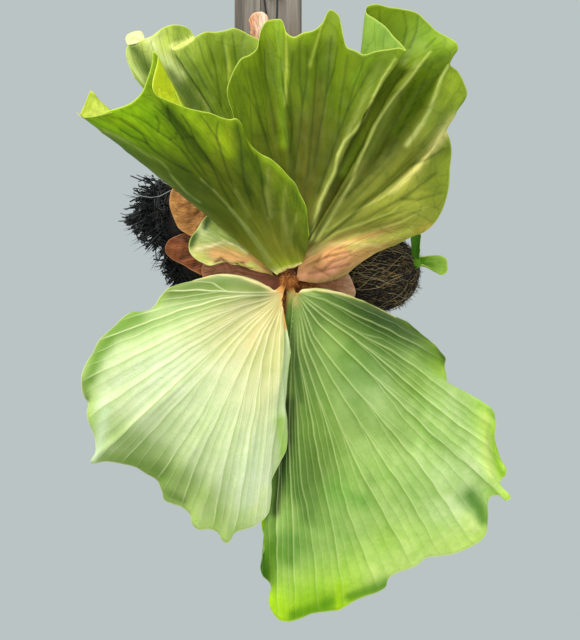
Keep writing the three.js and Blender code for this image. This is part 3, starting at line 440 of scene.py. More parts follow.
def unevenness(x, y, length, seed):
  # Plane waves of about the given length, in random directions, added up to about -1 to 1.
  draw = np.random.default_rng(seed)
  total = 0
  for _ in range(planeWaves["count"]):
    turn = draw.uniform(0, 2 * math.pi)
    size = 2 * math.pi / (length * draw.uniform(*planeWaves["lengths"]))
    total = total + np.sin((x * math.cos(turn) + y * math.sin(turn)) * size + draw.uniform(*anyPhase))
  return total / planeWaves["divisor"]


def curveThrough(knots, points):
  # A cubic through points at rising knots, each slope weighed from the two chords beside it.
  knots = np.asarray(knots, float)
  widths = np.diff(knots)
  shape = (-1,) + (1,) * (points.ndim - 1)
  chords = np.diff(points, axis=0) / widths.reshape(shape)
  before = widths[:-1].reshape(shape)
  after = widths[1:].reshape(shape)
  inner = (chords[:-1] * after + chords[1:] * before) / (before + after)
  slopes = np.concatenate([chords[:1], inner, chords[-1:]])

  def at(places):
    # The points at places among the knots: both ends and both slopes, each weighed by a cubic of t.
    i = np.clip(np.searchsorted(knots, places, side="right") - 1, 0, len(knots) - 2)
    width = widths[i].reshape(shape)
    t = ((places - knots[i]) / widths[i]).reshape(shape)
    s = 1 - t
    return (points[i] * (1 + 2 * t) * s * s + slopes[i] * width * t * s * s
            + points[i + 1] * t * t * (3 - 2 * t) - slopes[i + 1] * width * t * t * s)

  return at


def bladeGrid(frond, columns, rows):
  # A grid of points on a frond's surface, rows from root to rim, columns along the rim, and how
  # far the rim bulges there beyond the line through the ribs' ends, in millimetres.
  rim = seen(frond["rim"])
  steps = np.linalg.norm(np.diff(rim, axis=0), axis=1)
  rimKnots = np.concatenate([[0], np.cumsum(steps)]) / steps.sum()
  u = np.linspace(0, 1, columns + 1)
  v = np.linspace(0, 1, rows + 1)
  ends = [rib[0] for rib in frond["ribs"]]
  inner = np.array([rib[1:] for rib in frond["ribs"]], float)
  lines = [curveThrough(rimKnots[ends], seen(inner[:, k]))(u) for k in range(inner.shape[1])]
  lines = np.array(lines + [curveThrough(rimKnots[ends], rim[ends])(u)])
  stations = frond["stations"] or np.linspace(0, 1, len(lines))
  points = curveThrough(stations, lines)(v)
  wave = curveThrough(rimKnots, rim)(u) - lines[-1]
  reach = (v ** frond["rimReach"])[:, None]
  points = points + wave[None] * reach[..., None]
  outward = unit(lines[-1] - lines[-2])
  bulge = (wave * outward).sum(-1) / mm * reach
  return np.broadcast_to(u, bulge.shape), np.broadcast_to(v[:, None], bulge.shape), points, bulge


def normalsOf(points):
  # The cross product of the grid's two directions, turned so that most of it faces the front.
  normal = unit(np.cross(np.gradient(points, axis=1), np.gradient(points, axis=0)))
  return normal if normal[..., 1].mean() < 0 else -normal


def alongPieces(across, up, line):
  # For each straight piece of a drawn line: how far along it a point's nearest place is, 0 to 1, how
  # far away that is, and the cross product of piece and point, which is over 0 on its left.
  line = np.asarray(line, float)
  for start, step in zip(line[:-1], np.diff(line, axis=0)):
    x = across - start[0]
    y = up - start[1]
    t = np.clip((x * step[0] + y * step[1]) / (step @ step), 0, 1)
    yield t, np.hypot(x - t * step[0], y - t * step[1]), step[0] * y - step[1] * x


farAway = 1e6  # further than any point is from a drawn line, in millimetres
strokeNarrows = (1.2, 0.7)  # a stroke's width at its first and its last point, times its own


def strokeShare(across, up, line, width):
  # exp(-(distance / width)^2) from a drawn line, which is widest at its first point.
  nearest = np.full(across.shape, farAway)
  wide, narrow = strokeNarrows
  for k, (t, away, _) in enumerate(alongPieces(across, up, line)):
    nearest = np.minimum(nearest, away / (wide + (narrow - wide) * (k + t) / (len(line) - 1)))
  return np.exp(-(nearest / width) ** 2)


edgeCell = 30  # how wide a cell of the fan is beyond the outermost drawn vein, in millimetres
veinRunsOn = 3  # how far a drawn vein runs on past its end, in lengths of its last piece


def fanBetween(across, up, lines):
  # Where a point lies among drawn veins: the number of lines before it, plus its distance from the
  # last of them over the distance from that one to the next. Also how wide the cell is there.
  away, after = [], []
  for line in lines:
    line = np.asarray(line, float)
    line = np.concatenate([line, line[-1:] + veinRunsOn * (line[-1:] - line[-2:-1])])
    nearest = np.full(across.shape, farAway)
    side = np.zeros(across.shape)
    for _, far, turn in alongPieces(across, up, line):
      side = np.where(far < nearest, turn, side)
      nearest = np.minimum(nearest, far)
    away.append(nearest)
    after.append(side > 0)
  away = np.array(away)
  count = np.array(after).sum(0)
  top = len(lines) - 1
  fromLast = np.take_along_axis(away, np.clip(count - 1, 0, top)[None], 0)[0]
  toNext = np.take_along_axis(away, np.clip(count, 0, top)[None], 0)[0]
  fan = count - 1 + fromLast / (fromLast + toNext + 1e-6)
  fan = np.where(count == 0, -toNext / edgeCell, fan)
  fan = np.where(count > top, top + fromLast / edgeCell, fan)
  wide = np.where((count == 0) | (count > top), edgeCell, fromLast + toNext)
  return fan + 0.5, wide


def fraction(x):
  # What is left of x above the whole number below it.
  return x - np.floor(x)


class Arrays:
  # The maths that veins need, on whole arrays. Graph, further down, has the same in shader nodes.
  operations = {"FLOOR": np.floor, "FRACT": fraction, "SINE": np.sin, "ABSOLUTE": np.abs,
                "MINIMUM": np.minimum, "GREATER_THAN": np.greater}

  def maths(self, operation, *values):
    # One of these operations, by the name that the Math node has for it.
    return self.operations[operation](*values)

  def ease(self, low, high, value):
    # The function above, as a method.
    return ease(low, high, value)


# How much later or sooner a vein forks than its neighbours, and how long it takes to part, of v.
forkStagger = 0.3
forkLength = 0.28
# The factors before and after the sine that gives each vein a number of its own.
forkDraw = (12.9898, 97.3)
strengthDraw = (78.233, 43.7)


def ownNumber(m, cell, factors):
  # A number from 0 to 1 that looks random and is the same all over a cell: the fraction of a sine.
  return m.maths("FRACT", m.maths("SINE", cell * factors[0]) * factors[1])


def veinNear(m, look, fan, v):
  # How far a point is from the nearest vein, in cells of the fan, worked out by m, which is Arrays
  # or a Graph; veins stand at cell middles. At each fork a vein parts into two that end a quarter
  # cell to each side, or, where split is 3, sends out one to each side that ends a third of a cell
  # away. Also v as moved by the vein's own number, and the cell.
  cell = m.maths("FLOOR", fan)
  late = v + (ownNumber(m, cell, forkDraw) - 0.5) * forkStagger
  near = None
  for level, fork in enumerate(look["forks"]):
    ways = look["split"] ** level
    part = m.ease(fork, fork + forkLength, late)
    middle = m.maths("ABSOLUTE", m.maths("FRACT", fan * ways) - 0.5)
    if look["split"] == 3:
      here = m.maths("MINIMUM", middle, m.maths("ABSOLUTE", middle - part / 3)) / ways
    else:
      here = m.maths("ABSOLUTE", middle - part / 4) / ways
    near = here if near is None else near + (here - near) * m.maths("GREATER_THAN", late, fork)
  return near, late, cell


# How every blade's surface is made. Lengths are in millimetres, pairs of numbers are places of v
# that something sets in between, and sideCalm is a place of u.
surface = {
  "gap": 0.25,  # what a leaf keeps inside its solid's own thickness
  "rimThickness": 1.0,
  "rootPower": 9,  # how fast the root's own thickness is lost
  "rimThins": (0.45, 0.985),  # by what share the rim is thinner, and from which v on
  "inside": (0.08, 0.3),
  "veinsEnd": (1, 0.93),
  "backFrom": (0.35, 0.6),  # where the back takes its own colour
  "wobbleLength": 240,
  "gapLength": 1.7,  # of the unevenness between veins, in veins
  "kinkLength": 22,
  "mainKinkLength": 30,
  "strokeRise": 1.4,  # how much wider a stroke is raised than painted
  "ruffleFrom": (0.55, 1),
  "ruffleShift": 1.6,  # in radians
  "ruffleLength": 60,
  "sideCalm": 0.05,  # how far in from its sides a blade has no ruffles
}


def laid(tint, colour, share):
  # A colour laid over a tint by a share from 0 to 1.
  share = share[..., None]
  return tint * (1 - share) + fromScreen(*colour) * share


def tinted(look, across, up, v):
  # Starts from the leaf's own colour, warms or pales it from root to rim, then lays each patch
  # over it, strength times exp(-(x/a)^2 - (y/b)^2), x and y turned to the patch's direction, and
  # then each drawn stroke, strength times its share. Bands, patches and strokes are partly the
  # leaf's own colours and partly painted shade, shadows and highlights.
  tint = np.broadcast_to(fromScreen(*look["colour"]), v.shape + (3,))
  for colour, low, high in look["bands"]:
    tint = laid(tint, colour, ease(low, high, v))
  for colour, (middleAcross, middleUp), (a, b), turn, strength in look["patches"]:
    c, s = math.cos(math.radians(turn)), math.sin(math.radians(turn))
    x = (across - middleAcross) * c + (up - middleUp) * s
    y = (up - middleUp) * c - (across - middleAcross) * s
    tint = laid(tint, colour, strength * np.exp(-(x / a) ** 2 - (y / b) ** 2))
  for colour, strength, width, _, lines in look["strokes"]:
    for line in lines:
      tint = laid(tint, colour, strength * strokeShare(across, up, line, width))
  return tint


def veinFan(look, u, v, points, seed):
  # Counts the veins from one side of a blade to the other, and gives a cell's width in millimetres.
  # Between drawn main veins it is fanBetween, elsewhere u times the veins, wobbled; both are kinked.
  across, up = drawn(points)
  inside = ease(*surface["inside"], v)
  if look["mainVeins"]:
    fan, wide = fanBetween(across, up, look["mainVeins"])
    kink = surface["mainKinkLength"]
  else:
    count = look["veins"]
    fan = u * count + look["veinWobble"] * unevenness(across, up, surface["wobbleLength"], seed) * inside
    fan = fan + look["veinGaps"] * unevenness(u * count, 0 * v, surface["gapLength"], seed + 3)
    wide = np.linalg.norm(np.gradient(points, axis=1), axis=-1) / np.gradient(u, axis=1) / mm / count
    kink = surface["kinkLength"]
  return fan + look["veinKinks"] * unevenness(across, up, kink, seed + 5) * inside, wide


def liftOf(look, u, v, points, bulge, away, seed):
  # How far the surface is raised, in millimetres: veins as exp(-(distance / swell)^2), lumps, folded
  # bulges of the rim, drawn strokes, and ruffles as a sine along the rim.
  across, up = drawn(points)
  inside = ease(*surface["inside"], v)
  lift = look["veinRise"] * np.exp(-(away / look["veinSwell"]) ** 2) * inside
  lift = lift * ease(*surface["veinsEnd"], v) + look["rimFold"] * bulge
  lift = lift + look["lumps"] * unevenness(across, up, look["lumpSize"], seed + 1) * inside
  for _, _, width, height, lines in look["strokes"]:
    if height:
      for line in lines:
        lift = lift + height * strokeShare(across, up, line, width * surface["strokeRise"]) * inside
  shift = surface["ruffleShift"] * unevenness(across, up, surface["ruffleLength"], seed + 2)
  ruffle = look["ruffle"] * ease(*surface["ruffleFrom"], v)
  ruffle = ruffle * np.sin(u * look["ruffles"] * 2 * math.pi + shift)
  calm = surface["sideCalm"]
  return lift + ruffle * ease(0, calm, u) * ease(1, 1 - calm, u)


def thicknessOf(frond, v):
  # Thickest at the root by the power rootPower of 1 - v, evenly less to the rim, thinner at its end.
  rim = surface["rimThickness"]
  less, start = surface["rimThins"]
  thick = rim + (frond["thickness"] - rim) * (1 - v)
  thick = thick + (frond["rootThickness"] - frond["thickness"]) * (1 - v) ** surface["rootPower"]
  return thick * (1 - less * ease(start, 1, v)) - surface["gap"]


def sheetFaces(rows, columns):
  # The front sheet's squares, the back sheet's, turned over, and the walls round the four edges.
  index = np.arange((rows + 1) * (columns + 1)).reshape(rows + 1, columns + 1)
  behind = index + index.size
  front = np.stack([index[:-1, :-1], index[:-1, 1:], index[1:, 1:], index[1:, :-1]], -1).reshape(-1, 4)
  back = front[:, [0, 3, 2, 1]] + index.size
  walls = []
  for line, other in ((index[0, ::-1], behind[0, ::-1]), (index[-1], behind[-1]),
                      (index[:, 0], behind[:, 0]), (index[::-1, -1], behind[::-1, -1])):
    walls.append(np.stack([line[:-1], line[1:], other[1:], other[:-1]], -1))
  return np.concatenate([front, back, *walls])


def twice(values):
  # The same values for the front sheet and the back one.
  return np.concatenate([values.reshape(-1)] * 2)


def bladeParts(frond, look, columns, rows, seed):
  # A closed blade: the grid with waves and veins raised along its normal, then moved half the
  # thickness to each side, with walls round the four edges. edge is the way to the rim.
  look = {**look, **frond["look"]}
  u, v, points, bulge = bladeGrid(frond, columns, rows)
  fan, wide = veinFan(look, u, v, points, seed)
  away = veinNear(Arrays(), look, fan, v)[0] * wide
  normal = normalsOf(points)
  middle = points + normal * (liftOf(look, u, v, points, bulge, away, seed) * mm)[..., None]
  half = normal * (thicknessOf(frond, v) / 2 * mm)[..., None]
  steps = np.linalg.norm(np.diff(points, axis=0), axis=-1) / mm
  edge = np.concatenate([np.cumsum(steps[::-1], 0)[::-1], np.zeros((1, columns + 1))])
  tint = tinted(look, *drawn(middle), v)
  tintBack = laid(tint, look["under"], look["underShare"] * ease(*surface["backFrom"], v))
  return {
    "points": np.concatenate([(middle + half).reshape(-1, 3), (middle - half).reshape(-1, 3)]),
    "faces": sheetFaces(rows, columns),
    "uv": np.stack([twice(u), twice(v)], -1),
    "fan": twice(fan),
    "wide": twice(wide),
    "edge": twice(edge),
    "tint": np.concatenate([tint.reshape(-1, 3), tintBack.reshape(-1, 3)]),
    "detail": np.full(2 * u.size, frond["detail"]),
  }


def joined(parts):
  # Several blades or lumps as one set of arrays, each one's faces moved past the points before it.
  starts = np.cumsum([0] + [len(part["points"]) for part in parts])
  whole = {key: np.concatenate([part[key] for part in parts]) for key in parts[0]}
  whole["faces"] = np.concatenate([part["faces"] + start for part, start in zip(parts, starts)])
  return whole


boxGap = 0.1  # how far inside the box of the solids every point stays, in millimetres


def kept(points):
  # Points held inside the box of the solids, which a wave of a rim may pass by a hair.
  low, high = np.array(boxBefore[0]), np.array(boxBefore[1])
  return np.clip(points, low + boxGap * mm, high - boxGap * mm)


def meshObject(name, part, material, stands=None):
  # Arrays to a smooth mesh at the origin with its UV and attributes, standing for a solid if any.
  mesh = bpy.data.meshes.new(name)
  faces = part["faces"]
  points = kept(part["points"])
  mesh.vertices.add(len(points))
  mesh.vertices.foreach_set("co", points.astype(np.float32).reshape(-1))
  mesh.loops.add(faces.size)
  mesh.loops.foreach_set("vertex_index", faces.astype(np.int32).reshape(-1))
  mesh.polygons.add(len(faces))
  mesh.polygons.foreach_set("loop_start", np.arange(0, faces.size, faces.shape[1], dtype=np.int32))
  mesh.update(calc_edges=True)
  mesh.polygons.foreach_set("use_smooth", np.ones(len(faces), bool))
  if "uv" in part:
    layer = mesh.uv_layers.new(name="blade")
    layer.data.foreach_set("uv", part["uv"][faces.reshape(-1)].astype(np.float32).reshape(-1))
  for key in ("fan", "wide", "edge", "detail", "shade"):
    if key in part:
      values = mesh.attributes.new(key, "FLOAT", "POINT")
      values.data.foreach_set("value", part[key].astype(np.float32))
  if "tint" in part:
    tint = mesh.attributes.new("tint", "FLOAT_COLOR", "POINT")
    colours = np.concatenate([part["tint"], np.ones((len(points), 1))], -1)
    tint.data.foreach_set("color", colours.astype(np.float32).reshape(-1))
  mesh.materials.append(material)
  made = bpy.data.objects.new(name, mesh)
  bpy.context.scene.collection.objects.link(made)
  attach(made, "root")
  if stands:
    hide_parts(stands)
  print(name, len(faces) * (faces.shape[1] - 2), "triangles")


class Value:
  # A shader output that adds, multiplies and so on like a number.
  def __init__(self, graph, socket):
    self.graph = graph
    self.socket = socket

  def __add__(self, other):
    return self.graph.maths("ADD", self, other)

  def __radd__(self, other):
    return self.graph.maths("ADD", other, self)

  def __sub__(self, other):
    return self.graph.maths("SUBTRACT", self, other)

  def __rsub__(self, other):
    return self.graph.maths("SUBTRACT", other, self)

  def __mul__(self, other):
    return self.graph.maths("MULTIPLY", self, other)

  def __rmul__(self, other):
    return self.graph.maths("MULTIPLY", other, self)

  def __truediv__(self, other):
    return self.graph.maths("DIVIDE", self, other)

  def __rtruediv__(self, other):
    return self.graph.maths("DIVIDE", other, self)

  def __neg__(self):
    return self.graph.maths("MULTIPLY", self, -1)


class Graph:
  # One material's nodes.
  def __init__(self, name):
    self.material = bpy.data.materials.new(name)
    self.material.use_nodes = True
    self.tree = self.material.node_tree
    self.tree.nodes.clear()

  def node(self, kind, settings=(), inputs=()):
    # A node of any type with its settings, each input linked to a Value or set to a number.
    made = self.tree.nodes.new(kind)
    for key, value in dict(settings).items():
      setattr(made, key, value)
    for key, value in dict(inputs).items():
      if isinstance(value, Value):
        self.tree.links.new(value.socket, made.inputs[key])
      else:
        made.inputs[key].default_value = value
    return made

  def value(self, kind, settings=(), inputs=(), output=0):
    # One output of such a node.
    return Value(self, self.node(kind, settings, inputs).outputs[output])

  def maths(self, operation, *values):
    # One of the Math node's operations.
    return self.value("ShaderNodeMath", {"operation": operation}, enumerate(values))

  def bell(self, x):
    # exp(-x^2).
    return self.maths("EXPONENT", -(x * x))

  def mix(self, share, first, second, blend="MIX"):
    # The first colour, with a share of the second over it.
    return self.value("ShaderNodeMix", {"data_type": "RGBA", "blend_type": blend},
                      {0: share, 6: first, 7: second}, 2)

  def tinged(self, colour, factors):
    # A colour times three factors.
    return self.mix(1.0, colour, (*factors, 1.0), "MULTIPLY")

  def ease(self, low, high, value):
    # 0 below low, 1 above high, and 3t^2 - 2t^3 between them.
    return self.value("ShaderNodeMapRange", {"interpolation_type": "SMOOTHSTEP"},
                      {0: value, 1: low, 2: high})

  def attribute(self, name, output=2):
    # A number that the mesh's points hold, or with output 0 a colour.
    return self.value("ShaderNodeAttribute", {"attribute_name": name}, (), output)

  def place(self, stretch=(1, 1, 1)):
    # Object coordinates, in metres, times three factors.
    where = Value(self, self.node("ShaderNodeTexCoord").outputs["Object"])
    return self.value("ShaderNodeVectorMath", {"operation": "MULTIPLY"}, {0: where, 1: stretch})

  def onPlane(self, x, y):
    # A place on a plane from two numbers.
    return self.value("ShaderNodeCombineXYZ", (), {0: x, 1: y})

  def noise(self, place, scale, detail=3, rough=0.55):
    # Noise from 0 to 1 at a place.
    inputs = {"Vector": place, "Scale": scale, "Detail": detail, "Roughness": rough}
    return self.value("ShaderNodeTexNoise", (), inputs)

  def finish(self, inputs, height=None):
    # Principled shader with these inputs, bumped by a height in metres.
    inputs = dict(inputs)
    if height is not None:
      inputs["Normal"] = self.value("ShaderNodeBump", (),
                                    {"Strength": 1.0, "Distance": 1.0, "Height": height})
    shader = self.node("ShaderNodeBsdfPrincipled", (), inputs)
    output = self.node("ShaderNodeOutputMaterial")
    self.tree.links.new(shader.outputs[0], output.inputs[0])
    return self.material


def rgba(colour, brightness=1.0):
  # A screen colour made linear, times a brightness, with its alpha.
  return (*(fromScreen(*colour) * brightness), 1.0)


# How every leaf is painted. Lengths are in millimetres, three factors are on red, green and blue, and
# a taper is what a width is at the root, and what it loses from there to the rim.
paint = {
  "noises": {"coarse": 18, "mottle": 70, "fine": 260},  # scales, per metre
  "noiseShares": {"coarse": 0.5, "mottle": 0.35, "fine": 0.15},
  "toneStep": (0.3, 0.7),  # the pattern's values for the darkest and the lightest tone
  "streaksAlong": 3.0,  # how many follow each other from root to rim
  "veinShadeReach": 0.08,  # the painted shade beside a vein is exp(-this * (distance / width)^2)
  "veinTaper": (1.3, 0.6),
  "veinBegins": 0.2,  # how much of v a vein needs to reach its strength
  "veinEnds": (0.0, 5.0),  # distances from the rim
  "veinRoom": (3.0, 12.0),  # cells that are narrower than this have weaker veins
  # The pleat entries paint shade and light beside the hanging fronds' veins, for the light on their folds.
  "pleatRoom": (1.0, 5.0),
  "pleatWidth": (0.1, 1.2),  # a share of the cell's width, and a length added to it
  "pleatTaper": 0.45,  # what the painted fold shade and light lose of their strength from root to rim
  "pleatDim": (0.5, 0.62, 0.28),
  "pleatLit": (1.2, 1.16, 1.26),
  "pleatAtRim": 0.35,  # what is left of the painted fold shade and light there
  "sideShare": 0.7,  # the side veins' painted fold shade and light, as a share of the main ones'
  "sideBegins": 0.1,  # how far past its fork, in v
  "crestTaper": (1.15, 0.3),
  "netUneven": 0.5, "netLine": 0.09,  # how far its lines stray and how wide they are, in its cells
  "netBegins": (0.1, 0.4),  # places of v
  "netEnds": (0.0, 4.0),  # distances from the rim
  "rimOwn": 0.6,  # the share of the rim's colour that is laid over the tint times rimLift
  "rimLift": (1.5, 1.45, 1.5),
}


def tones(g, look, colour, name, pattern):
  # The colour at its darkest and lightest, one laid over the other where the pattern is high. Also
  # the darkest on its own.
  dark = g.tinged(colour, look[name + "Dark"])
  light = g.tinged(colour, look[name + "Light"])
  return g.mix(g.ease(*paint["toneStep"], pattern), dark, light), dark


def netLines(g, look, fan, edge, v, mottle):
  # Fine veins: the edges between the cells of a Voronoi pattern on the fan and v, none by the rim.
  x = fan * look["netAcross"] + (mottle - 0.5) * paint["netUneven"]
  y = v * look["netAlong"] + (mottle - 0.5) * paint["netUneven"]
  cells = g.value("ShaderNodeTexVoronoi", {"feature": "DISTANCE_TO_EDGE", "voronoi_dimensions": "2D"},
                  {"Vector": g.onPlane(x, y), "Scale": 1.0})
  lines = g.ease(paint["netLine"], 0.0, cells)
  return lines * g.ease(*paint["netBegins"], v) * g.ease(*paint["netEnds"], edge)


def pleatShading(g, look, colour, fan, wide, v, late, main, fade):
  # Painted shade and light for the folds of a hanging frond: from each side vein and then each main vein,
  # exp(-distance / width) of painted shade on one side and of painted light on the other. Also the main
  # veins' own fine crests.
  dark = g.tinged(colour, paint["pleatDim"])
  light = g.tinged(colour, paint["pleatLit"])
  share, least = paint["pleatWidth"]
  width = wide * share + least
  pleat = main * fade * (1.0 - paint["pleatTaper"] * v)
  fork = look["forks"][-1]
  sides = g.ease(fork + paint["sideBegins"], fork + forkLength, late) * paint["sideShare"]
  for ways, part in ((look["split"], sides), (1, 1.0)):
    dim = g.maths("FRACT", fan * ways + 0.5) * wide / ways
    bright = wide / ways - dim
    if look["litAfter"]:
      dim, bright = bright, dim
    shade = g.maths("EXPONENT", -dim / width) * pleat * look["pleatDark"] * part
    shine = g.maths("EXPONENT", -bright / width) * pleat * look["pleatLight"] * part
    colour = g.mix(shine, g.mix(shade, colour, dark), light)
  thick, less = paint["crestTaper"]
  crest = g.bell(g.maths("MINIMUM", dim, bright) / (look["mainWidth"] * (thick - less * v)))
  return colour, crest * main * fade * look["mainShare"]


def leafMaterial(name, look):
  # The leaf's tint, mottled and streaked, with veins, painted shade beside them, painted fold shade and light
  # on the hanging fronds, a net of fine veins and a thin rim line laid over it. Vein strength is
  # exp(-(distance / width)^2), the distance taken from the fan and forks.
  g = Graph(name)
  v = g.value("ShaderNodeSeparateXYZ", (), {0: g.value("ShaderNodeUVMap", {"uv_map": "blade"})}, 1)
  fan, wide, edge, detail = [g.attribute(key) for key in ("fan", "wide", "edge", "detail")]
  near, late, cell = veinNear(g, look, fan, v)
  thick, less = paint["veinTaper"]
  far = near * wide / (look["veinWidth"] * (thick - less * v))
  strong = 1.0 - ownNumber(g, cell, strengthDraw) * look["veinUneven"]
  strong = strong * g.ease(*paint["veinEnds"], edge) * detail
  strong = strong * g.ease(look["veinFrom"], look["veinFrom"] + paint["veinBegins"], v)
  main = strong * g.ease(*paint["pleatRoom"], wide)
  strong = strong * g.ease(*paint["veinRoom"], wide)
  vein = g.bell(far) * strong
  veinShade = g.maths("EXPONENT", -(far * far) * paint["veinShadeReach"]) * strong
  where = g.place()
  coarse = g.noise(where, paint["noises"]["coarse"])
  mottle = g.noise(where, paint["noises"]["mottle"], 4)
  fine = g.noise(where, paint["noises"]["fine"], 4)
  shares = paint["noiseShares"]
  pattern = coarse * shares["coarse"] + mottle * shares["mottle"] + fine * shares["fine"]
  net = netLines(g, look, fan, edge, v, mottle) * detail
  tint = g.attribute("tint", 0)
  colour, _ = tones(g, look, tint, "mottle", pattern)
  streak = g.noise(g.onPlane(fan * look["streaks"], v * paint["streaksAlong"]), 1.0)
  colour, dark = tones(g, look, colour, "streak", streak)
  # Painted shade beside each vein, in the darkest streak tone.
  colour = g.mix(veinShade * look["veinShade"], colour, dark)
  colour = g.mix(net * look["netShare"], colour, rgba(look["netColour"]))
  share = vein * look["veinShare"]
  if look["mainVeins"]:
    left = paint["pleatAtRim"]
    fade = left + (1.0 - left) * g.ease(0.0, look["veinFade"], edge)
    # Painted fold shade and light beside the veins of the hanging fronds.
    colour, crest = pleatShading(g, look, colour, fan, wide, v, late, main, fade)
    share = g.maths("MAXIMUM", share * fade, crest)
  own = g.tinged(tint, look["veinLift"])
  colour = g.mix(share, colour, g.mix(look["veinOwn"], own, rgba(look["veinColour"])))
  # A thin pale line along the rim: partly the rim's own paler colour, partly painted light shining through
  # the thin edge.
  rim = g.mix(paint["rimOwn"], g.tinged(tint, paint["rimLift"]), rgba(look["rimColour"]))
  colour = g.mix(g.ease(look["rimWidth"], 0.0, edge) * look["rimShare"], colour, rim)
  height = vein * look["veinHeight"] - net * look["netDepth"] + fine * look["grain"]
  height = (height + mottle * look["crinkle"]) * mm
  return g.finish({
    "Base Color": colour, "Roughness": look["roughness"], "Subsurface Weight": look["glow"],
    "Subsurface Radius": (1.0, 1.0, 0.35), "Subsurface Scale": 0.003,
    "Specular IOR Level": look["shine"], "Sheen Weight": look["felt"], "Sheen Roughness": 0.5,
  }, height)


# Looks. Colours are as a screen shows them, 0 to 255, and factors are on red, green and blue.
# bands: a colour laid on from one place to another between root, 0, and rim, 1.
# patches: a colour, its middle (across, up), its half sizes, its turn in degrees and its strength.
# strokes: a colour, its strength, width and height in millimetres, and the lines it is drawn on.
# A share is how much of a colour is laid on, and widths, heights and depths are in millimetres.
plainLeaf = {
  "veins": 8,  # how many start at the root, where mainVeins draws none
  "mainVeins": None,
  "forks": [0.18, 0.5], "split": 2,  # the places of v where each vein parts, and into how many
  "veinWobble": 0.35, "veinKinks": 0.008, "veinGaps": 0.16,  # how far they stray, in veins
  "veinRise": -0.4, "veinSwell": 4.5,  # how high and how wide the leaf itself rises along them
  "veinFrom": 0.15,  # the place of v where they begin to show
  "veinWidth": 1.0, "veinShare": 0.35, "veinHeight": -0.2,
  "veinUneven": 0.8,  # how much weaker than the strongest a vein can be
  "veinColour": (50, 66, 10), "veinOwn": 1.0,  # laid by this share over the tint times veinLift
  "veinLift": (1.5, 1.5, 1.5),
  "veinShade": 0.2,  # painted shade: how much darker the leaf is painted beside them, for their shadow
  "lumps": 0.4, "lumpSize": 24,
  "ruffle": 0.0, "ruffles": 12,  # how high they are and how many fit along the rim
  "rimFold": 0.0,  # how far a bulge of the rim is folded forwards, times the bulge
  "bands": [], "patches": [], "strokes": [],
  "under": (176, 190, 90), "underShare": 0.7,  # the back's colour
  "netAcross": 4.0, "netAlong": 6.0,  # cells of the fine net from vein to vein and from root to rim
  "netShare": 0.2, "netColour": (58, 76, 12), "netDepth": 0.1,
  "streaks": 1.5, "streakDark": (0.78, 0.82, 0.66), "streakLight": (1.2, 1.16, 1.3),
  "mottleDark": (0.82, 0.86, 0.75), "mottleLight": (1.14, 1.1, 1.1),
  "grain": 0.12, "crinkle": 0.7,  # the relief of the finest noise and of the middle one
  "rimWidth": 2.2, "rimShare": 0.9, "rimColour": (206, 214, 104),
  "roughness": 0.5, "glow": 0.1, "shine": 0.1, "felt": 0.0,
}

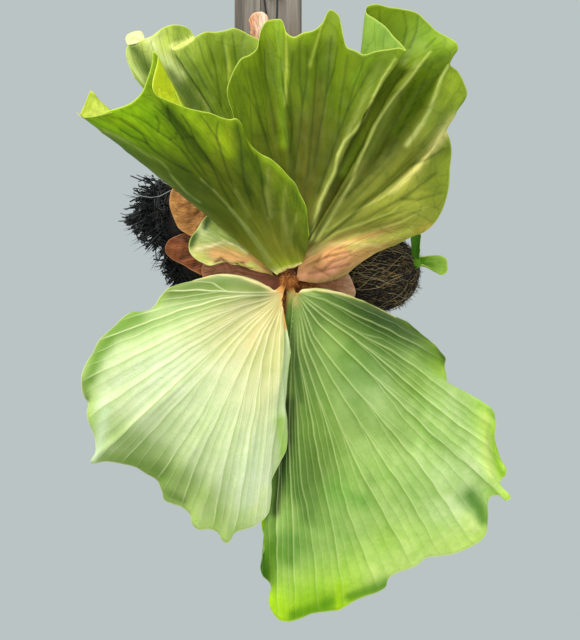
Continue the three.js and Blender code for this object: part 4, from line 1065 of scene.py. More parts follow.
frontLeftLook = {
  **plainLeaf, "colour": (130, 130, 38), "veins": 6, "veinShare": 0.22, "under": (164, 178, 24),
  "underShare": 0.9,
  # The last band, brighter at the rim, is painted light shining through the thin rim.
  "bands": [((90, 100, 14), 0.1, 0.35), ((96, 114, 12), 0.45, 0.75), ((124, 152, 16), 0.86, 1.0)],
  "patches": [
    ((132, 176, 6), (-206, 244), (66, 44), 0, 0.85),
    ((146, 164, 26), (-85, 228), (22, 24), 0, 0.75),
    ((72, 90, 20), (-104, 152), (84, 12), -42, 0.6),
    ((140, 146, 92), (-110, 131), (92, 6), -42, 0.55),
    ((128, 132, 56), (-27, 150), (6, 30), 0, 0.5),
    ((132, 136, 60), (-6, 119), (5, 26), 0, 0.5),
    ((150, 160, 34), (-5, 70), (24, 9), 5, 0.8),
    ((186, 180, 150), (-19, 58), (7, 7), 0, 0.8),
  ],
  "strokes": [
    ((70, 92, 20), 0.6, 7, 0, [
      [(-225, 228), (-190, 207), (-160, 185), (-130, 160), (-105, 140)]]),
    ((46, 68, 8), 0.55, 8, 0, [
      [(-66, 238), (-62, 210), (-58, 185), (-50, 160)],
      [(-48, 204), (-40, 188), (-33, 172)],
      [(-150, 262), (-140, 245), (-125, 222), (-105, 200)]]),
    ((136, 164, 8), 0.55, 6, 0.6, [
      [(-92, 238), (-82, 225), (-75, 205)],
      [(-126, 252), (-110, 236), (-98, 215)],
      [(-222, 250), (-200, 246), (-180, 240)]]),
    ((148, 158, 84), 0.5, 1.9, 1.0, [
      [(-232, 237), (-200, 222), (-180, 207), (-163, 199), (-153, 190), (-146, 178), (-130, 160),
       (-112, 147)],
      [(-25, 74), (-33, 88), (-44, 104), (-56, 118), (-68, 133), (-82, 148), (-95, 162), (-112, 177)],
      [(-27, 70), (-36, 86), (-48, 103), (-62, 122), (-76, 139)]]),
    ((136, 142, 62), 0.42, 3.2, 0.6, [
      [(-24, 130), (-29, 160), (-27, 188)],
      [(-3, 106), (-8, 122), (-8, 142), (-6, 166)],
      [(0, 98), (4, 115), (9, 132)],
      [(-52, 130), (-62, 150), (-72, 170)]]),
    ((36, 58, 8), 0.55, 1.5, -0.5, [
      [(-178, 221), (-184, 232), (-196, 241), (-213, 252)],
      [(-122, 184), (-140, 193), (-156, 203), (-170, 212), (-180, 222), (-197, 229), (-212, 238)],
      [(-98, 166), (-112, 182), (-126, 200), (-136, 214), (-150, 226), (-165, 236), (-180, 247),
       (-198, 257)],
      [(-104, 180), (-116, 198), (-127, 212), (-134, 227), (-141, 238), (-149, 249), (-158, 257),
       (-170, 268)],
      [(-149, 249), (-152, 258), (-153, 269)],
      [(-72, 142), (-86, 168), (-95, 188), (-104, 204), (-115, 218), (-120, 228), (-125, 240), (-135, 256)],
      [(-134, 227), (-127, 229), (-120, 228)],
      [(-70, 165), (-80, 190), (-86, 210), (-91, 226), (-97, 235), (-104, 246), (-112, 255)],
      [(-91, 226), (-92, 236), (-90, 247)],
      [(-46, 140), (-57, 170), (-60, 200), (-62, 225), (-66, 244)],
      [(-28, 130), (-34, 160), (-36, 185), (-42, 205)],
      [(-165, 236), (-163, 246), (-168, 256)],
      [(-150, 226), (-143, 228), (-141, 238)]]),
    ((172, 186, 44), 0.8, 5, 0, [[(-14, 62), (-2, 68), (12, 66)]]),
    ((255, 236, 150), 0.95, 2.6, 0, [[(-17, 58), (-5, 64), (4, 67), (13, 71)]]),
  ],
}

centreRightLook = {
  **plainLeaf, "colour": (110, 112, 38), "veins": 9, "veinShare": 0.25, "under": (124, 160, 60),
  # The last band, brighter at the rim, is painted light shining through the thin rim.
  "bands": [((84, 92, 16), 0.2, 0.45), ((94, 114, 10), 0.5, 0.8), ((106, 130, 12), 0.9, 1.0)],
  "patches": [
    ((70, 84, 16), (12, 182), (28, 70), 0, 0.6),
    ((84, 108, 14), (80, 300), (34, 30), 0, 0.45),
    ((152, 164, 64), (184, 226), (26, 80), -15, 0.5),
    ((164, 168, 60), (146, 150), (56, 36), 20, 0.8),
    ((142, 174, 46), (178, 352), (46, 32), 0, 0.8),
    # Painted highlights along two crests, in this patch and the next.
    ((160, 172, 84), (75, 237), (96, 4), 66, 0.35),
    ((164, 174, 86), (112, 237), (90, 4), 62, 0.5),
    ((196, 152, 56), (171, 114), (15, 9), 10, 0.8),
    ((255, 180, 122), (62, 80), (62, 16), 18, 0.97),
    ((220, 168, 92), (70, 92), (56, 5), 24, 0.7),
    ((214, 146, 114), (40, 60), (44, 12), 12, 0.85),
    ((156, 184, 40), (0, 364), (42, 15), 0, 0.55),
    ((176, 196, 60), (206, 276), (11, 44), 0, 0.55),
    ((104, 140, 30), (176, 366), (20, 16), 0, 0.4),
    ((176, 180, 76), (166, 124), (22, 22), 30, 0.5),
  ],
  "strokes": [
    ((98, 126, 18), 0.5, 13, 0, [[(182, 332), (170, 300), (152, 265), (132, 235)]]),
    ((84, 80, 20), 0.45, 10, 0, [
      [(15, 160), (15, 200), (16, 250)],
      [(26, 160), (32, 230), (36, 300)]]),
    ((116, 150, 14), 0.5, 5, 0, [
      [(-8, 220), (-12, 300), (-14, 368)],
      [(80, 300), (92, 318), (104, 330)]]),
    ((176, 200, 60), 0.6, 8, 0, [[(138, 316), (117, 281), (90, 229), (67, 184)]]),
    # Painted shade in a valley, and in the next stroke a painted highlight on the crest beside it.
    ((84, 108, 14), 0.5, 6, -1.0, [[(98, 208), (112, 238), (128, 260), (147, 284), (166, 306)]]),
    ((160, 176, 48), 0.6, 5, 1.5, [[(92, 228), (100, 246), (112, 264), (130, 288), (150, 308)]]),
    # Painted highlights along the crests, in this stroke and the next.
    ((192, 198, 104), 0.7, 2.0, 2.2, [
      [(27, 100), (32, 128), (38, 148), (46, 165), (56, 185), (60, 206), (68, 223), (80, 235), (94, 254),
       (104, 278), (116, 302), (132, 326)],
      [(34, 100), (50, 127), (64, 150), (76, 172), (83, 190), (90, 208), (97, 222), (106, 243), (118, 262),
       (132, 282), (148, 300), (162, 318), (176, 336)]]),
    ((182, 190, 108), 0.6, 2.6, 2.0, [
      [(146, 218), (156, 232), (166, 246), (175, 263), (182, 282), (188, 300), (198, 318)]]),
    # A painted highlight along a fold, in this stroke and the next, strongest at its top.
    ((240, 228, 144), 0.85, 7, 0.5, [[(206, 250), (196, 237), (187, 225), (178, 213)]]),
    ((206, 198, 112), 0.7, 4, 1.0, [[(178, 213), (168, 201), (156, 187), (142, 173), (126, 158)]]),
    ((176, 190, 74), 0.55, 2.0, 0.4, [
      [(-6, 270), (-4, 320), (-5, 360)],
      [(25, 318), (30, 336), (36, 356), (44, 378)]]),
    ((40, 58, 6), 0.5, 1.5, -0.4, [
      [(-18, 230), (-24, 270), (-31, 305), (-32, 338)],
      [(-22, 200), (-34, 240), (-44, 280), (-52, 312)],
      [(-28, 225), (-42, 262), (-58, 292)],
      [(6, 190), (12, 230), (16, 270), (12, 310), (12, 350)],
      [(16, 270), (21, 300), (22, 335)],
      [(22, 180), (26, 220), (30, 265), (32, 300), (34, 332)],
      [(30, 190), (38, 240), (46, 285), (49, 320), (52, 354)],
      [(46, 285), (55, 312), (60, 342)],
      [(36, 160), (48, 195), (60, 230), (72, 262), (80, 292), (92, 322)],
      [(72, 262), (84, 284), (100, 312)],
      [(60, 230), (62, 262), (68, 300), (72, 330)],
      [(0, 210), (4, 250), (0, 290), (4, 335)],
      [(0, 250), (-8, 290), (-12, 330)],
      [(110, 205), (125, 235), (140, 265), (156, 300)],
      [(122, 205), (140, 240), (155, 270), (168, 300), (178, 322)],
      [(140, 265), (138, 285)],
      [(150, 340), (158, 360), (160, 380)],
      [(142, 345), (146, 366), (142, 386)],
      [(170, 340), (182, 352)],
      [(104, 352), (112, 368), (112, 386)]]),
    ((176, 180, 90), 0.5, 1.8, 0.5, [
      [(30, 90), (60, 110), (95, 122), (130, 135)],
      [(45, 110), (80, 135), (110, 150), (128, 160)],
      [(60, 98), (100, 112), (140, 122), (172, 142)]]),
    ((80, 94, 18), 0.5, 2.2, -0.6, [
      [(60, 112), (100, 130), (140, 152), (184, 184)],
      [(80, 140), (115, 162), (150, 194)],
      [(90, 110), (130, 122), (164, 138)],
      [(70, 155), (110, 192), (150, 240)],
      [(60, 130), (100, 170), (132, 204)],
      [(140, 152), (160, 150), (188, 158)],
      [(150, 194), (170, 200), (192, 214)]]),
    ((206, 206, 92), 0.7, 6, 0, [[(78, 92), (112, 100), (152, 112)]]),
    ((228, 196, 128), 0.6, 3, 0.8, [[(24, 82), (50, 95), (80, 96), (112, 92)]]),
    ((140, 88, 60), 0.5, 1.8, -0.8, [
      [(20, 68), (45, 78), (76, 86)],
      [(24, 58), (50, 64), (74, 70)],
      [(45, 78), (52, 86), (64, 90)],
      [(34, 73), (40, 82)],
      [(40, 61), (52, 72), (70, 78)],
      [(30, 66), (40, 61), (50, 54)]]),
  ],
}

backLeftLook = {
  **plainLeaf, "colour": (104, 116, 28), "veins": 5,
  # The last band, brighter at the rim, is painted light shining through the thin rim.
  "bands": [((98, 120, 18), 0.3, 0.7), ((130, 152, 44), 0.86, 1.0)],
  "patches": [
    ((172, 184, 98), (-178, 344), (34, 24), 15, 0.9),
    ((186, 198, 112), (-150, 316), (8, 34), 30, 0.6),
    ((92, 112, 24), (-146, 296), (10, 36), 30, 0.6),
  ],
  "strokes": [
    ((186, 198, 126), 0.8, 8, 1.5, [[(-138, 306), (-150, 320), (-161, 332), (-174, 348)]]),
    ((54, 74, 10), 0.7, 8, -1.0, [[(-118, 266), (-134, 290), (-150, 310)]]),
    # Painted shade inside the curled left margin.
    ((62, 86, 12), 0.85, 9, -1.0, [[(-176, 310), (-185, 325), (-196, 341)]]),
    ((170, 184, 108), 0.7, 5, 0.5, [[(-184, 300), (-198, 318), (-204, 336)]]),
    ((158, 174, 88), 0.65, 1.9, 0.8, [[(-100, 262), (-106, 272), (-117, 291), (-128, 308), (-139, 324)]]),
    # Painted highlight on the rolled edge.
    ((226, 234, 142), 0.85, 3, 0.5, [[(-148, 341), (-135, 345), (-122, 353)]]),
    ((160, 180, 60), 0.6, 6, 0.5, [[(-158, 340), (-152, 352), (-150, 366)]]),
    ((46, 64, 8), 0.5, 1.5, -0.4, [
      [(-86, 268), (-90, 295), (-94, 320), (-101, 342)],
      [(-78, 290), (-80, 320), (-85, 352)],
      [(-104, 288), (-118, 315), (-131, 335)],
      [(-64, 300), (-68, 330), (-72, 358)],
      [(-96, 300), (-108, 325), (-114, 348)]]),
    ((150, 168, 44), 0.5, 2.6, 0.4, [[(-76, 300), (-76, 322), (-80, 344)]]),
  ],
}

lowerLeftLook = {
  **plainLeaf, "colour": (186, 150, 84), "veins": 5, "netShare": 0.15, "veinShare": 0.2,
  "streakDark": (0.86, 0.88, 0.8), "streakLight": (1.1, 1.08, 1.1),
  "bands": [((202, 184, 110), 0.2, 0.5), ((200, 208, 138), 0.5, 0.8), ((210, 212, 146), 0.9, 1.0)],
  "patches": [
    # Painted shade on the turned-back underside at the upper left edge, in this patch and the next.
    ((96, 120, 40), (-100, 124), (12, 9), -40, 0.85),
    ((108, 132, 52), (-120, 100), (5, 16), -20, 0.8),
    ((130, 152, 76), (-92, 104), (18, 7), -50, 0.5),
    ((214, 170, 92), (-72, 80), (46, 8), -12, 0.85),
    ((120, 80, 56), (-78, 71), (40, 3), -8, 0.6),
  ],
  "strokes": [
    ((178, 198, 84), 0.8, 8, 0, [[(-90, 120), (-72, 100), (-56, 84)]]),
    ((218, 164, 106), 0.9, 8, -0.5, [[(-94, 83), (-74, 80), (-54, 75), (-38, 65)]]),
    ((240, 226, 176), 0.75, 2.0, 1.2, [[(-116, 88), (-98, 92), (-82, 98), (-66, 93), (-54, 84)]]),
    # Painted shade on the turned-back underside at the upper left edge.
    ((60, 90, 36), 0.9, 5, -1.5, [[(-102, 128), (-106, 115)], [(-121, 105), (-124, 93)]]),
    ((208, 204, 104), 0.8, 5, 0.5, [[(-114, 80), (-100, 71)]]),
    ((104, 66, 44), 0.8, 2.6, 0, [[(-92, 73), (-86, 77), (-78, 71)], [(-66, 70), (-58, 72)]]),
    ((144, 168, 96), 0.5, 1.2, 0.3, [
      [(-60, 92), (-84, 104), (-104, 108)],
      [(-64, 94), (-84, 112), (-96, 126)],
      [(-74, 98), (-100, 98), (-118, 96)]]),
  ],
}

dryLeaf = {
  **plainLeaf, "colour": (176, 128, 92), "under": (150, 104, 68), "forks": [0.2, 0.6],
  "veinFrom": 0.0, "veinRise": 0.5, "veinShare": 0.3, "veinHeight": 0.3, "veinColour": (206, 158, 112),
  "netAcross": 2.4, "netAlong": 7.0, "netShare": 0.4, "netColour": (104, 62, 36), "netDepth": 0.4,
  "lumps": 1.0, "lumpSize": 13, "grain": 0.4, "crinkle": 2.0, "rimShare": 0.6,
  "rimColour": (216, 170, 120), "roughness": 0.7, "glow": 0.0, "shine": 0.2,
  "mottleDark": (0.7, 0.62, 0.54), "mottleLight": (1.2, 1.2, 1.2),
  "streaks": 1.6, "streakDark": (0.84, 0.78, 0.7), "streakLight": (1.1, 1.12, 1.2),
}

mauveLook = {
  **dryLeaf, "colour": (146, 88, 64), "bands": [((184, 120, 90), 0.3, 0.9)],
  "patches": [((96, 58, 36), (-19, 42), (12, 8), 0, 0.7), ((186, 130, 92), (-70, 52), (30, 8), -8, 0.4)],
}

tanLook = {
  **dryLeaf, "colour": (158, 108, 50), "bands": [((180, 128, 66), 0.6, 1.0)],
  "strokes": [
    ((120, 76, 36), 0.5, 1.6, -0.8, [
      [(-100, 142), (-118, 132), (-128, 118)],
      [(-104, 148), (-124, 146), (-140, 140)],
      [(-112, 136), (-120, 150), (-134, 158)],
      [(-118, 132), (-132, 128), (-142, 132)]]),
    ((208, 150, 92), 0.6, 4, 1.0, [[(-106, 132), (-114, 122), (-120, 112)], [(-124, 152), (-136, 148)]]),
  ],
}

rustLook = {
  **dryLeaf, "colour": (92, 46, 22), "bands": [((134, 70, 34), 0.4, 1.0)],
  "strokes": [
    ((64, 32, 16), 0.7, 3, -1.5, [
      [(-104, 88), (-122, 84), (-136, 76)],
      [(-108, 98), (-124, 98), (-140, 104)],
      [(-112, 74), (-122, 66)]]),
    ((176, 100, 54), 0.6, 3, 1.2, [[(-112, 92), (-132, 92), (-150, 90)], [(-118, 76), (-130, 72)]]),
  ],
}

rightDryLook = {**dryLeaf, "colour": (164, 112, 76), "bands": [((206, 164, 130), 0.5, 1.0)]}

backDryLook = {
  **dryLeaf, "colour": (170, 120, 88), "bands": [((216, 164, 128), 0.6, 1.0)],
  # A painted highlight and, in the second patch, painted shade on the curled tip.
  "patches": [((255, 232, 212), (-34, 368), (8, 17), 0, 0.9), ((176, 104, 60), (-48, 371), (3.5, 8), 0, 0.6)],
  "ruffle": 1.8, "ruffles": 3, "lumps": 1.4,
}

# The main veins of the two hanging fronds, from stalk to rim, in the order they turn round it.
leftVeins = [
  [(-14, 34), (-60, 34), (-120, 37), (-170, 34)],
  [(-14, 32), (-60, 30), (-85, 26), (-112, 19), (-142, 10), (-172, 0), (-210, -14)],
  [(-13, 31), (-60, 18), (-90, 7), (-120, -7), (-150, -21), (-180, -37), (-210, -52), (-250, -70)],
  [(-13, 30), (-64, 5), (-94, -15), (-122, -32), (-152, -52), (-182, -72), (-210, -92), (-250, -120)],
  [(-12, 29), (-62, -8), (-90, -31), (-116, -54), (-142, -78), (-170, -104), (-200, -133), (-244, -176)],
  [(-12, 28), (-50, -4), (-80, -36), (-100, -60), (-124, -86), (-150, -114), (-178, -144), (-210, -180)],
  [(-11, 27), (-44, -6), (-66, -32), (-84, -60), (-96, -86), (-112, -118), (-134, -152), (-166, -200)],
  [(-11, 26), (-38, -14), (-56, -48), (-71, -80), (-84, -108), (-98, -138), (-114, -172), (-136, -230)],
  [(-10, 25), (-34, -16), (-47, -50), (-55, -76), (-61, -102), (-69, -132), (-78, -164), (-98, -262)],
  [(-10, 24), (-28, -18), (-36, -52), (-41, -86), (-45, -114), (-51, -146), (-55, -180), (-70, -268)],
  [(-9, 23), (-20, -20), (-25, -60), (-27, -100), (-30, -140), (-34, -180), (-44, -258)],
  [(-9, 22), (-12, -30), (-14, -80), (-19, -130), (-27, -190), (-30, -240)],
]
rightVeins = [
  [(5, 23), (-4, -90), (-12, -170), (-16, -230), (-16, -300), (-14, -374)],
  [(6, 24), (2, -60), (0, -110), (-1, -150), (1, -204), (4, -254), (5, -310), (8, -378)],
  [(7, 25), (5, -60), (9, -110), (11, -160), (14, -204), (24, -250), (31, -300), (36, -370)],
  [(8, 26), (10, -40), (20, -85), (27, -122), (33, -158), (40, -196), (48, -232), (56, -272), (70, -362)],
  [(8, 27), (15, -35), (28, -76), (42, -116), (52, -150), (60, -182), (66, -215), (76, -248), (112, -340)],
  [(9, 28), (20, -30), (35, -66), (50, -102), (65, -138), (79, -170), (96, -203), (116, -238), (156, -312)],
  [(9, 29), (26, -25), (45, -60), (63, -91), (83, -121), (102, -151), (122, -182), (147, -218),
   (190, -296)],
  [(10, 30), (30, -20), (55, -54), (80, -84), (105, -112), (128, -140), (152, -168), (178, -202),
   (222, -270)],
  [(10, 31), (36, -5), (66, -34), (96, -62), (126, -91), (152, -117), (182, -146), (212, -172),
   (262, -216)],
  [(11, 32), (45, 2), (80, -22), (110, -46), (140, -72), (170, -98), (200, -122), (250, -160)],
  [(11, 33), (42, 12), (62, -2), (92, -20), (126, -38), (152, -56), (196, -90)],
  [(12, 34), (44, 25), (84, 5), (122, -12), (175, -40)],
]

# Only the hanging fronds have these. mainWidth and mainShare: the fine crest along a main vein.
# litAfter: light lies after each vein, in the order above, and shade before it, not the reverse.
# pleatDark and pleatLight: how strong that shade and light are. veinFade: how far in from the rim
# they begin to weaken, in millimetres.
feltedLeft = {
  **plainLeaf, "colour": (206, 158, 84), "under": (196, 206, 160), "mainVeins": leftVeins,
  "mainWidth": 0.95, "mainShare": 0.9, "litAfter": False, "pleatDark": 1.0, "pleatLight": 0.6,
  "split": 3, "forks": [0.32], "veinShade": 0.0, "veinUneven": 0.35, "veinKinks": 0.02, "veinOwn": 0.6,
  "veinLift": (1.5, 1.4, 1.5), "veinFade": 22, "veinRise": 0.5, "veinSwell": 2.2, "veinFrom": -0.1,
  "bands": [((206, 200, 142), 0.06, 0.2), ((214, 226, 172), 0.3, 0.7), ((186, 212, 116), 0.88, 1.0)],
  "patches": [
    ((102, 124, 40), (-110, 34), (84, 20), 4, 0.85),
    # Painted shade, darker green towards the lower left edge.
    ((160, 184, 100), (-222, -140), (60, 22), -30, 0.5),
    ((170, 196, 112), (-196, -30), (48, 26), 36, 0.55),
    # Painted shade, darker green towards the lower edge.
    ((160, 184, 84), (-120, -214), (90, 22), -38, 0.7),
    # Painted highlight on the middle left.
    ((236, 244, 210), (-160, -64), (70, 34), 0, 0.5),
    ((240, 246, 206), (-38, -210), (24, 60), 0, 0.7),
    # Painted shade at the lower left.
    ((104, 134, 52), (-166, -188), (46, 22), -18, 0.75),
    ((118, 150, 56), (-150, 4), (52, 16), 14, 0.5),
    ((166, 150, 86), (-24, 12), (18, 32), 0, 0.55),
  ],
  "strokes": [
    ((226, 240, 192), 0.55, 14, 0, [[(-50, -176), (-56, -232)]]),
    # The next six strokes paint shade and a highlight where the left and lower margins roll back: the darker
    # ones painted shade, the pale third one a painted highlight; each also sinks or raises the surface.
    ((98, 138, 28), 0.85, 14, -2, [[(-192, 2), (-220, -16), (-241, -46), (-250, -74)]]),
    ((86, 116, 30), 0.75, 6, -2, [[(-257, -82), (-253, -98)]]),
    ((226, 240, 204), 0.75, 8, 2, [[(-232, -106), (-236, -150), (-245, -176)]]),
    ((98, 126, 46), 0.55, 12, -3, [[(-232, -176), (-196, -178), (-164, -194)]]),
    ((140, 168, 84), 0.5, 16, -1, [[(-204, -150), (-160, -162)]]),
    ((92, 122, 38), 0.75, 8, -2, [[(-156, -216), (-134, -226)]]),
    ((158, 200, 54), 0.75, 7, 2, [[(-12, -126), (-9, -165)]]),
    ((218, 198, 140), 0.6, 12, 0, [[(-18, 26), (-38, 0), (-46, -30)]]),
    ((92, 116, 34), 0.7, 11, 0, [[(-36, 38), (-70, 47), (-110, 45), (-148, 34)]]),
    ((232, 156, 84), 0.9, 3.4, 0, [[(-4, 52), (-11, 40), (-9, 30), (-7, 14), (-5, -10)]]),
    ((232, 160, 90), 0.85, 3.4, 0, [[(-12, 38), (-24, 35)]]),
    ((238, 220, 156), 0.9, 2.0, 0.6, [[(-20, 36), (-36, 44), (-62, 54), (-90, 57), (-120, 50)]]),
    ((214, 232, 150), 0.6, 9, 2, [[(-60, -248), (-40, -240), (-30, -214)]]),
  ],
  "veinWidth": 0.65, "veinShare": 0.55, "veinHeight": 0.4, "veinColour": (240, 240, 190),
  "netShare": 0.07, "netColour": (130, 160, 70), "netAcross": 7.0, "netAlong": 34.0,
  "streakDark": (0.95, 0.97, 0.9), "streakLight": (1.03, 1.02, 1.05),
  "mottleDark": (0.86, 0.92, 0.78), "mottleLight": (1.08, 1.05, 1.12), "grain": 0.3, "crinkle": 0.4,
  "rimFold": 0.5, "rimColour": (240, 240, 186), "roughness": 0.75, "felt": 0.15,
}

feltedRight = {
  **feltedLeft, "colour": (190, 148, 84), "under": (176, 196, 110),
  "mainVeins": rightVeins, "forks": [0.3], "litAfter": True,
  "bands": [((146, 172, 88), 0.04, 0.14), ((124, 154, 68), 0.16, 0.36), ((178, 210, 112), 0.5, 0.75),
            ((196, 240, 30), 0.78, 1.0)],
  "patches": [
    # Painted shadow cast by the shields above onto the top of this frond.
    ((24, 52, 8), (118, 0), (110, 34), -28, 0.95),
    ((88, 112, 52), (22, -50), (20, 80), 0, 0.8),
    ((186, 212, 134), (212, -100), (40, 44), 0, 0.6),
    ((196, 218, 148), (108, -96), (46, 34), 0, 0.5),
    # Painted light on the right side, which faces away from the lamps.
    ((214, 240, 160), (206, -212), (40, 38), 0, 0.9),
    ((104, 150, 46), (48, -246), (50, 36), 0, 0.35),
    ((88, 142, 44), (-2, -280), (30, 24), 0, 0.7),
    ((130, 160, 50), (150, -82), (24, 20), -30, 0.5),
    ((108, 140, 44), (138, -150), (16, 14), -50, 0.6),
    ((96, 136, 40), (84, -108), (14, 22), 20, 0.6),
    ((112, 146, 60), (99, -196), (9, 26), 12, 0.6),
    ((128, 150, 66), (186, -160), (14, 9), -40, 0.6),
    # Painted light on the right side, which faces away from the lamps, in this patch and the next.
    ((236, 250, 190), (204, -204), (56, 70), 0, 0.7),
    ((240, 252, 176), (156, -296), (66, 28), 22, 0.75),
    ((52, 88, 26), (22, -198), (34, 52), 0, 0.65),
    ((86, 134, 36), (-26, -312), (18, 34), 0, 0.6),
    ((96, 128, 76), (96, -62), (58, 38), 0, 0.45),
    ((84, 108, 58), (28, 4), (22, 22), 0, 0.5),
  ],
  "strokes": [
    # The next three pale bands are painted highlights across broad folds.
    ((196, 222, 134), 0.5, 24, 0, [[(96, -176), (150, -176), (206, -146)]]),
    ((206, 232, 120), 0.7, 18, 0, [[(118, -322), (170, -292), (232, -268)]]),
    ((186, 214, 120), 0.5, 26, 0, [[(130, -230), (200, -210)]]),
    ((60, 106, 24), 0.45, 15, -1, [[(-10, -168), (-2, -200), (18, -225), (26, -250)]]),
    ((96, 160, 48), 0.5, 14, 0, [[(58, -214), (92, -226)]]),
    # Painted shadow cast by the left frond along this one's left side.
    ((14, 44, 6), 0.85, 9, 0, [[(-1, -104), (-2, -150), (-12, -200), (-18, -240)]]),
    # Painted shadow lines below the stalk.
    ((60, 90, 36), 0.6, 6, 0, [[(0, 14), (6, -40), (12, -100)]]),
    ((96, 52, 26), 0.85, 3.5, 0, [[(-4, 46), (-4, 34), (-5, 20), (-5, 8)]]),
    ((186, 160, 104), 0.6, 7, 0, [[(5, 32), (7, 20)]]),
    ((234, 158, 84), 0.9, 3.4, 0, [[(-3, 50), (3, 39), (10, 34)]]),
    ((228, 214, 150), 0.85, 1.8, 0.6, [[(10, 36), (30, 38), (60, 34), (98, 22), (132, 4)]]),
    # Painted shade in a hollow by the right rim, in this stroke and the next.
    ((28, 58, 8), 0.8, 7, -3, [[(160, -8), (178, -24)]]),
    ((34, 70, 12), 0.85, 8, -4, [[(190, -38), (197, -54)]]),
    ((150, 184, 70), 0.3, 9, 1, [[(158, -44), (186, -70)]]),
    # Painted shade in the sunk waves of the right rim and painted highlights on the raised ones, in the next
    # five strokes.
    ((120, 170, 40), 0.7, 5, -2, [[(250, -114), (256, -122)]]),
    ((140, 190, 16), 0.8, 6, -3, [[(252, -148), (258, -176), (266, -194)]]),
    ((214, 232, 120), 0.7, 6, 3, [[(244, -120), (246, -170), (252, -200)]]),
    ((70, 128, 20), 0.85, 13, -3, [[(226, -222), (236, -236), (242, -250)]]),
    ((226, 240, 150), 0.6, 7, 3, [[(222, -250), (236, -262)]]),
    # Painted shade under the rolled lower rim in this stroke and the next, and a painted highlight on the
    # roll in the one after.
    ((64, 128, 10), 0.85, 10, -3, [[(120, -332), (98, -338), (74, -346)]]),
    ((84, 146, 6), 0.85, 11, -3, [[(50, -354), (30, -362), (2, -369)]]),
    ((192, 232, 24), 0.75, 5, 3, [[(62, -332), (60, -362)]]),
    ((176, 226, 30), 0.7, 8, 2, [[(-14, -350), (-6, -366)]]),
    ((40, 96, 10), 0.9, 14, -3, [[(-36, -298), (-31, -326)]]),
    ((92, 144, 24), 0.6, 12, 0, [[(-22, -286), (0, -300)]]),
  ],
  "veinColour": (214, 228, 150), "veinOwn": 0.5, "veinLift": (1.8, 1.55, 2.1),
  "pleatDark": 1.45, "veinShare": 0.45, "mainShare": 0.8, "veinFade": 75,
  "rimColour": (232, 240, 170), "felt": 0.05,
  "mottleDark": (0.72, 0.84, 0.58), "mottleLight": (1.16, 1.1, 1.22),
}

pupLook = {
  **plainLeaf, "colour": (84, 130, 20), "veins": 4, "netShare": 0.0, "veinShare": 0.15,
  "bands": [((160, 196, 76), 0.3, 1.0)],
}

# Each leaf object: its look, the solid it stands for, its slot, its blades with columns and rows.
leaves = [
  ("front_left_leaf", frontLeftLook, "shield_front_left", "shield_green",
   [(shieldFrontLeft, 380, 84), (frontLeftTipLobe, 40, 16), (frontLeftSpikeLobe, 44, 24)]),
  ("centre_right_leaf", centreRightLook, "shield_centre_right", "shield_green",
   [(shieldCentreRight, 520, 80)]),
  ("back_left_leaf", backLeftLook, "shield_back_left", "shield_green",
   [(shieldBackLeft, 240, 64), (backLeftLobe, 30, 14)]),
  ("lower_left_leaf", lowerLeftLook, "shield_lower_left", "shield_fading", [(shieldLowerLeft, 90, 60)]),
  ("dry_lower_left_leaf", mauveLook, "dry_shield_lower_left", "shield_dry",
   [(dryShieldLowerLeft, 80, 60)]),
  ("dry_tan_left_leaf", tanLook, "dry_shield_tan_left", "shield_dry", [(dryShieldTanLeft, 60, 44)]),
  ("dry_rust_left_leaf", rustLook, "dry_shield_rust_left", "shield_dry", [(dryShieldRustLeft, 60, 44)]),
  ("dry_right_leaf", rightDryLook, "dry_shield_right", "shield_dry", [(dryShieldRight, 60, 44)]),
  ("dry_back_leaf", backDryLook, "dry_shield_back", "shield_dry", [(dryShieldBack, 60, 80)]),
  ("fertile_left_leaf", feltedLeft, "fertile_frond_left", "felted_frond", [(fertileLeft, 410, 80)]),
  ("fertile_right_leaf", feltedRight, "fertile_frond_right", "felted_frond", [(fertileRight, 530, 80)]),
]

for number, (name, look, stands, slot, blades) in enumerate(leaves):
  parts = [bladeParts(frond, look, columns, rows, 10 * number + k)
           for k, (frond, columns, rows) in enumerate(blades)]
  meshObject(name, joined(parts), leafMaterial(name, look), stands)
print("leaves done")


def halfSizes(lump):
  # A lump's half widths along X, Y and Z, in metres.
  across, up, out = lump["half"]
  return np.array([across, out, up]) * mm


# A bud's open poles, in radians, and the vein room and rim distance that its material takes it to
# have, in millimetres.
budShape = {"pole": 0.02, "wide": 5, "edge": 50}


def lumpParts(lump, look, around, upDown):
  # A round bud: an ellipsoid of points on a grid, from pole to pole.
  turn = np.linspace(0, 2 * math.pi, around, endpoint=False)
  tilt = np.linspace(budShape["pole"], math.pi - budShape["pole"], upDown + 1)
  tilt, turn = np.meshgrid(tilt, turn, indexing="ij")
  ball = np.stack([np.cos(turn) * np.sin(tilt), np.sin(turn) * np.sin(tilt), np.cos(tilt)], -1)
  points = seen(lump["middle"]) + ball * halfSizes(lump)
  index = np.arange(tilt.size).reshape(tilt.shape)
  beside = np.roll(index, -1, 1)
  faces = np.stack([index[:-1], index[1:], beside[1:], beside[:-1]], -1).reshape(-1, 4)
  flat = np.zeros(tilt.size)
  colour = np.broadcast_to(fromScreen(*look["colour"]), (tilt.size, 3))
  return {
    "points": points.reshape(-1, 3), "faces": faces, "uv": np.full((tilt.size, 2), 0.5), "fan": flat,
    "wide": flat + budShape["wide"], "edge": flat + budShape["edge"], "tint": colour, "detail": flat,
  }


pupParts = [bladeParts(pupStrap, pupLook, 30, 24, 201), bladeParts(pupRound, pupLook, 50, 30, 202),
            lumpParts(pupBud, pupLook, 24, 14)]
meshObject("pup_leaf", joined(pupParts), leafMaterial("pup_leaf", pupLook), "pup")
print("young plant done")


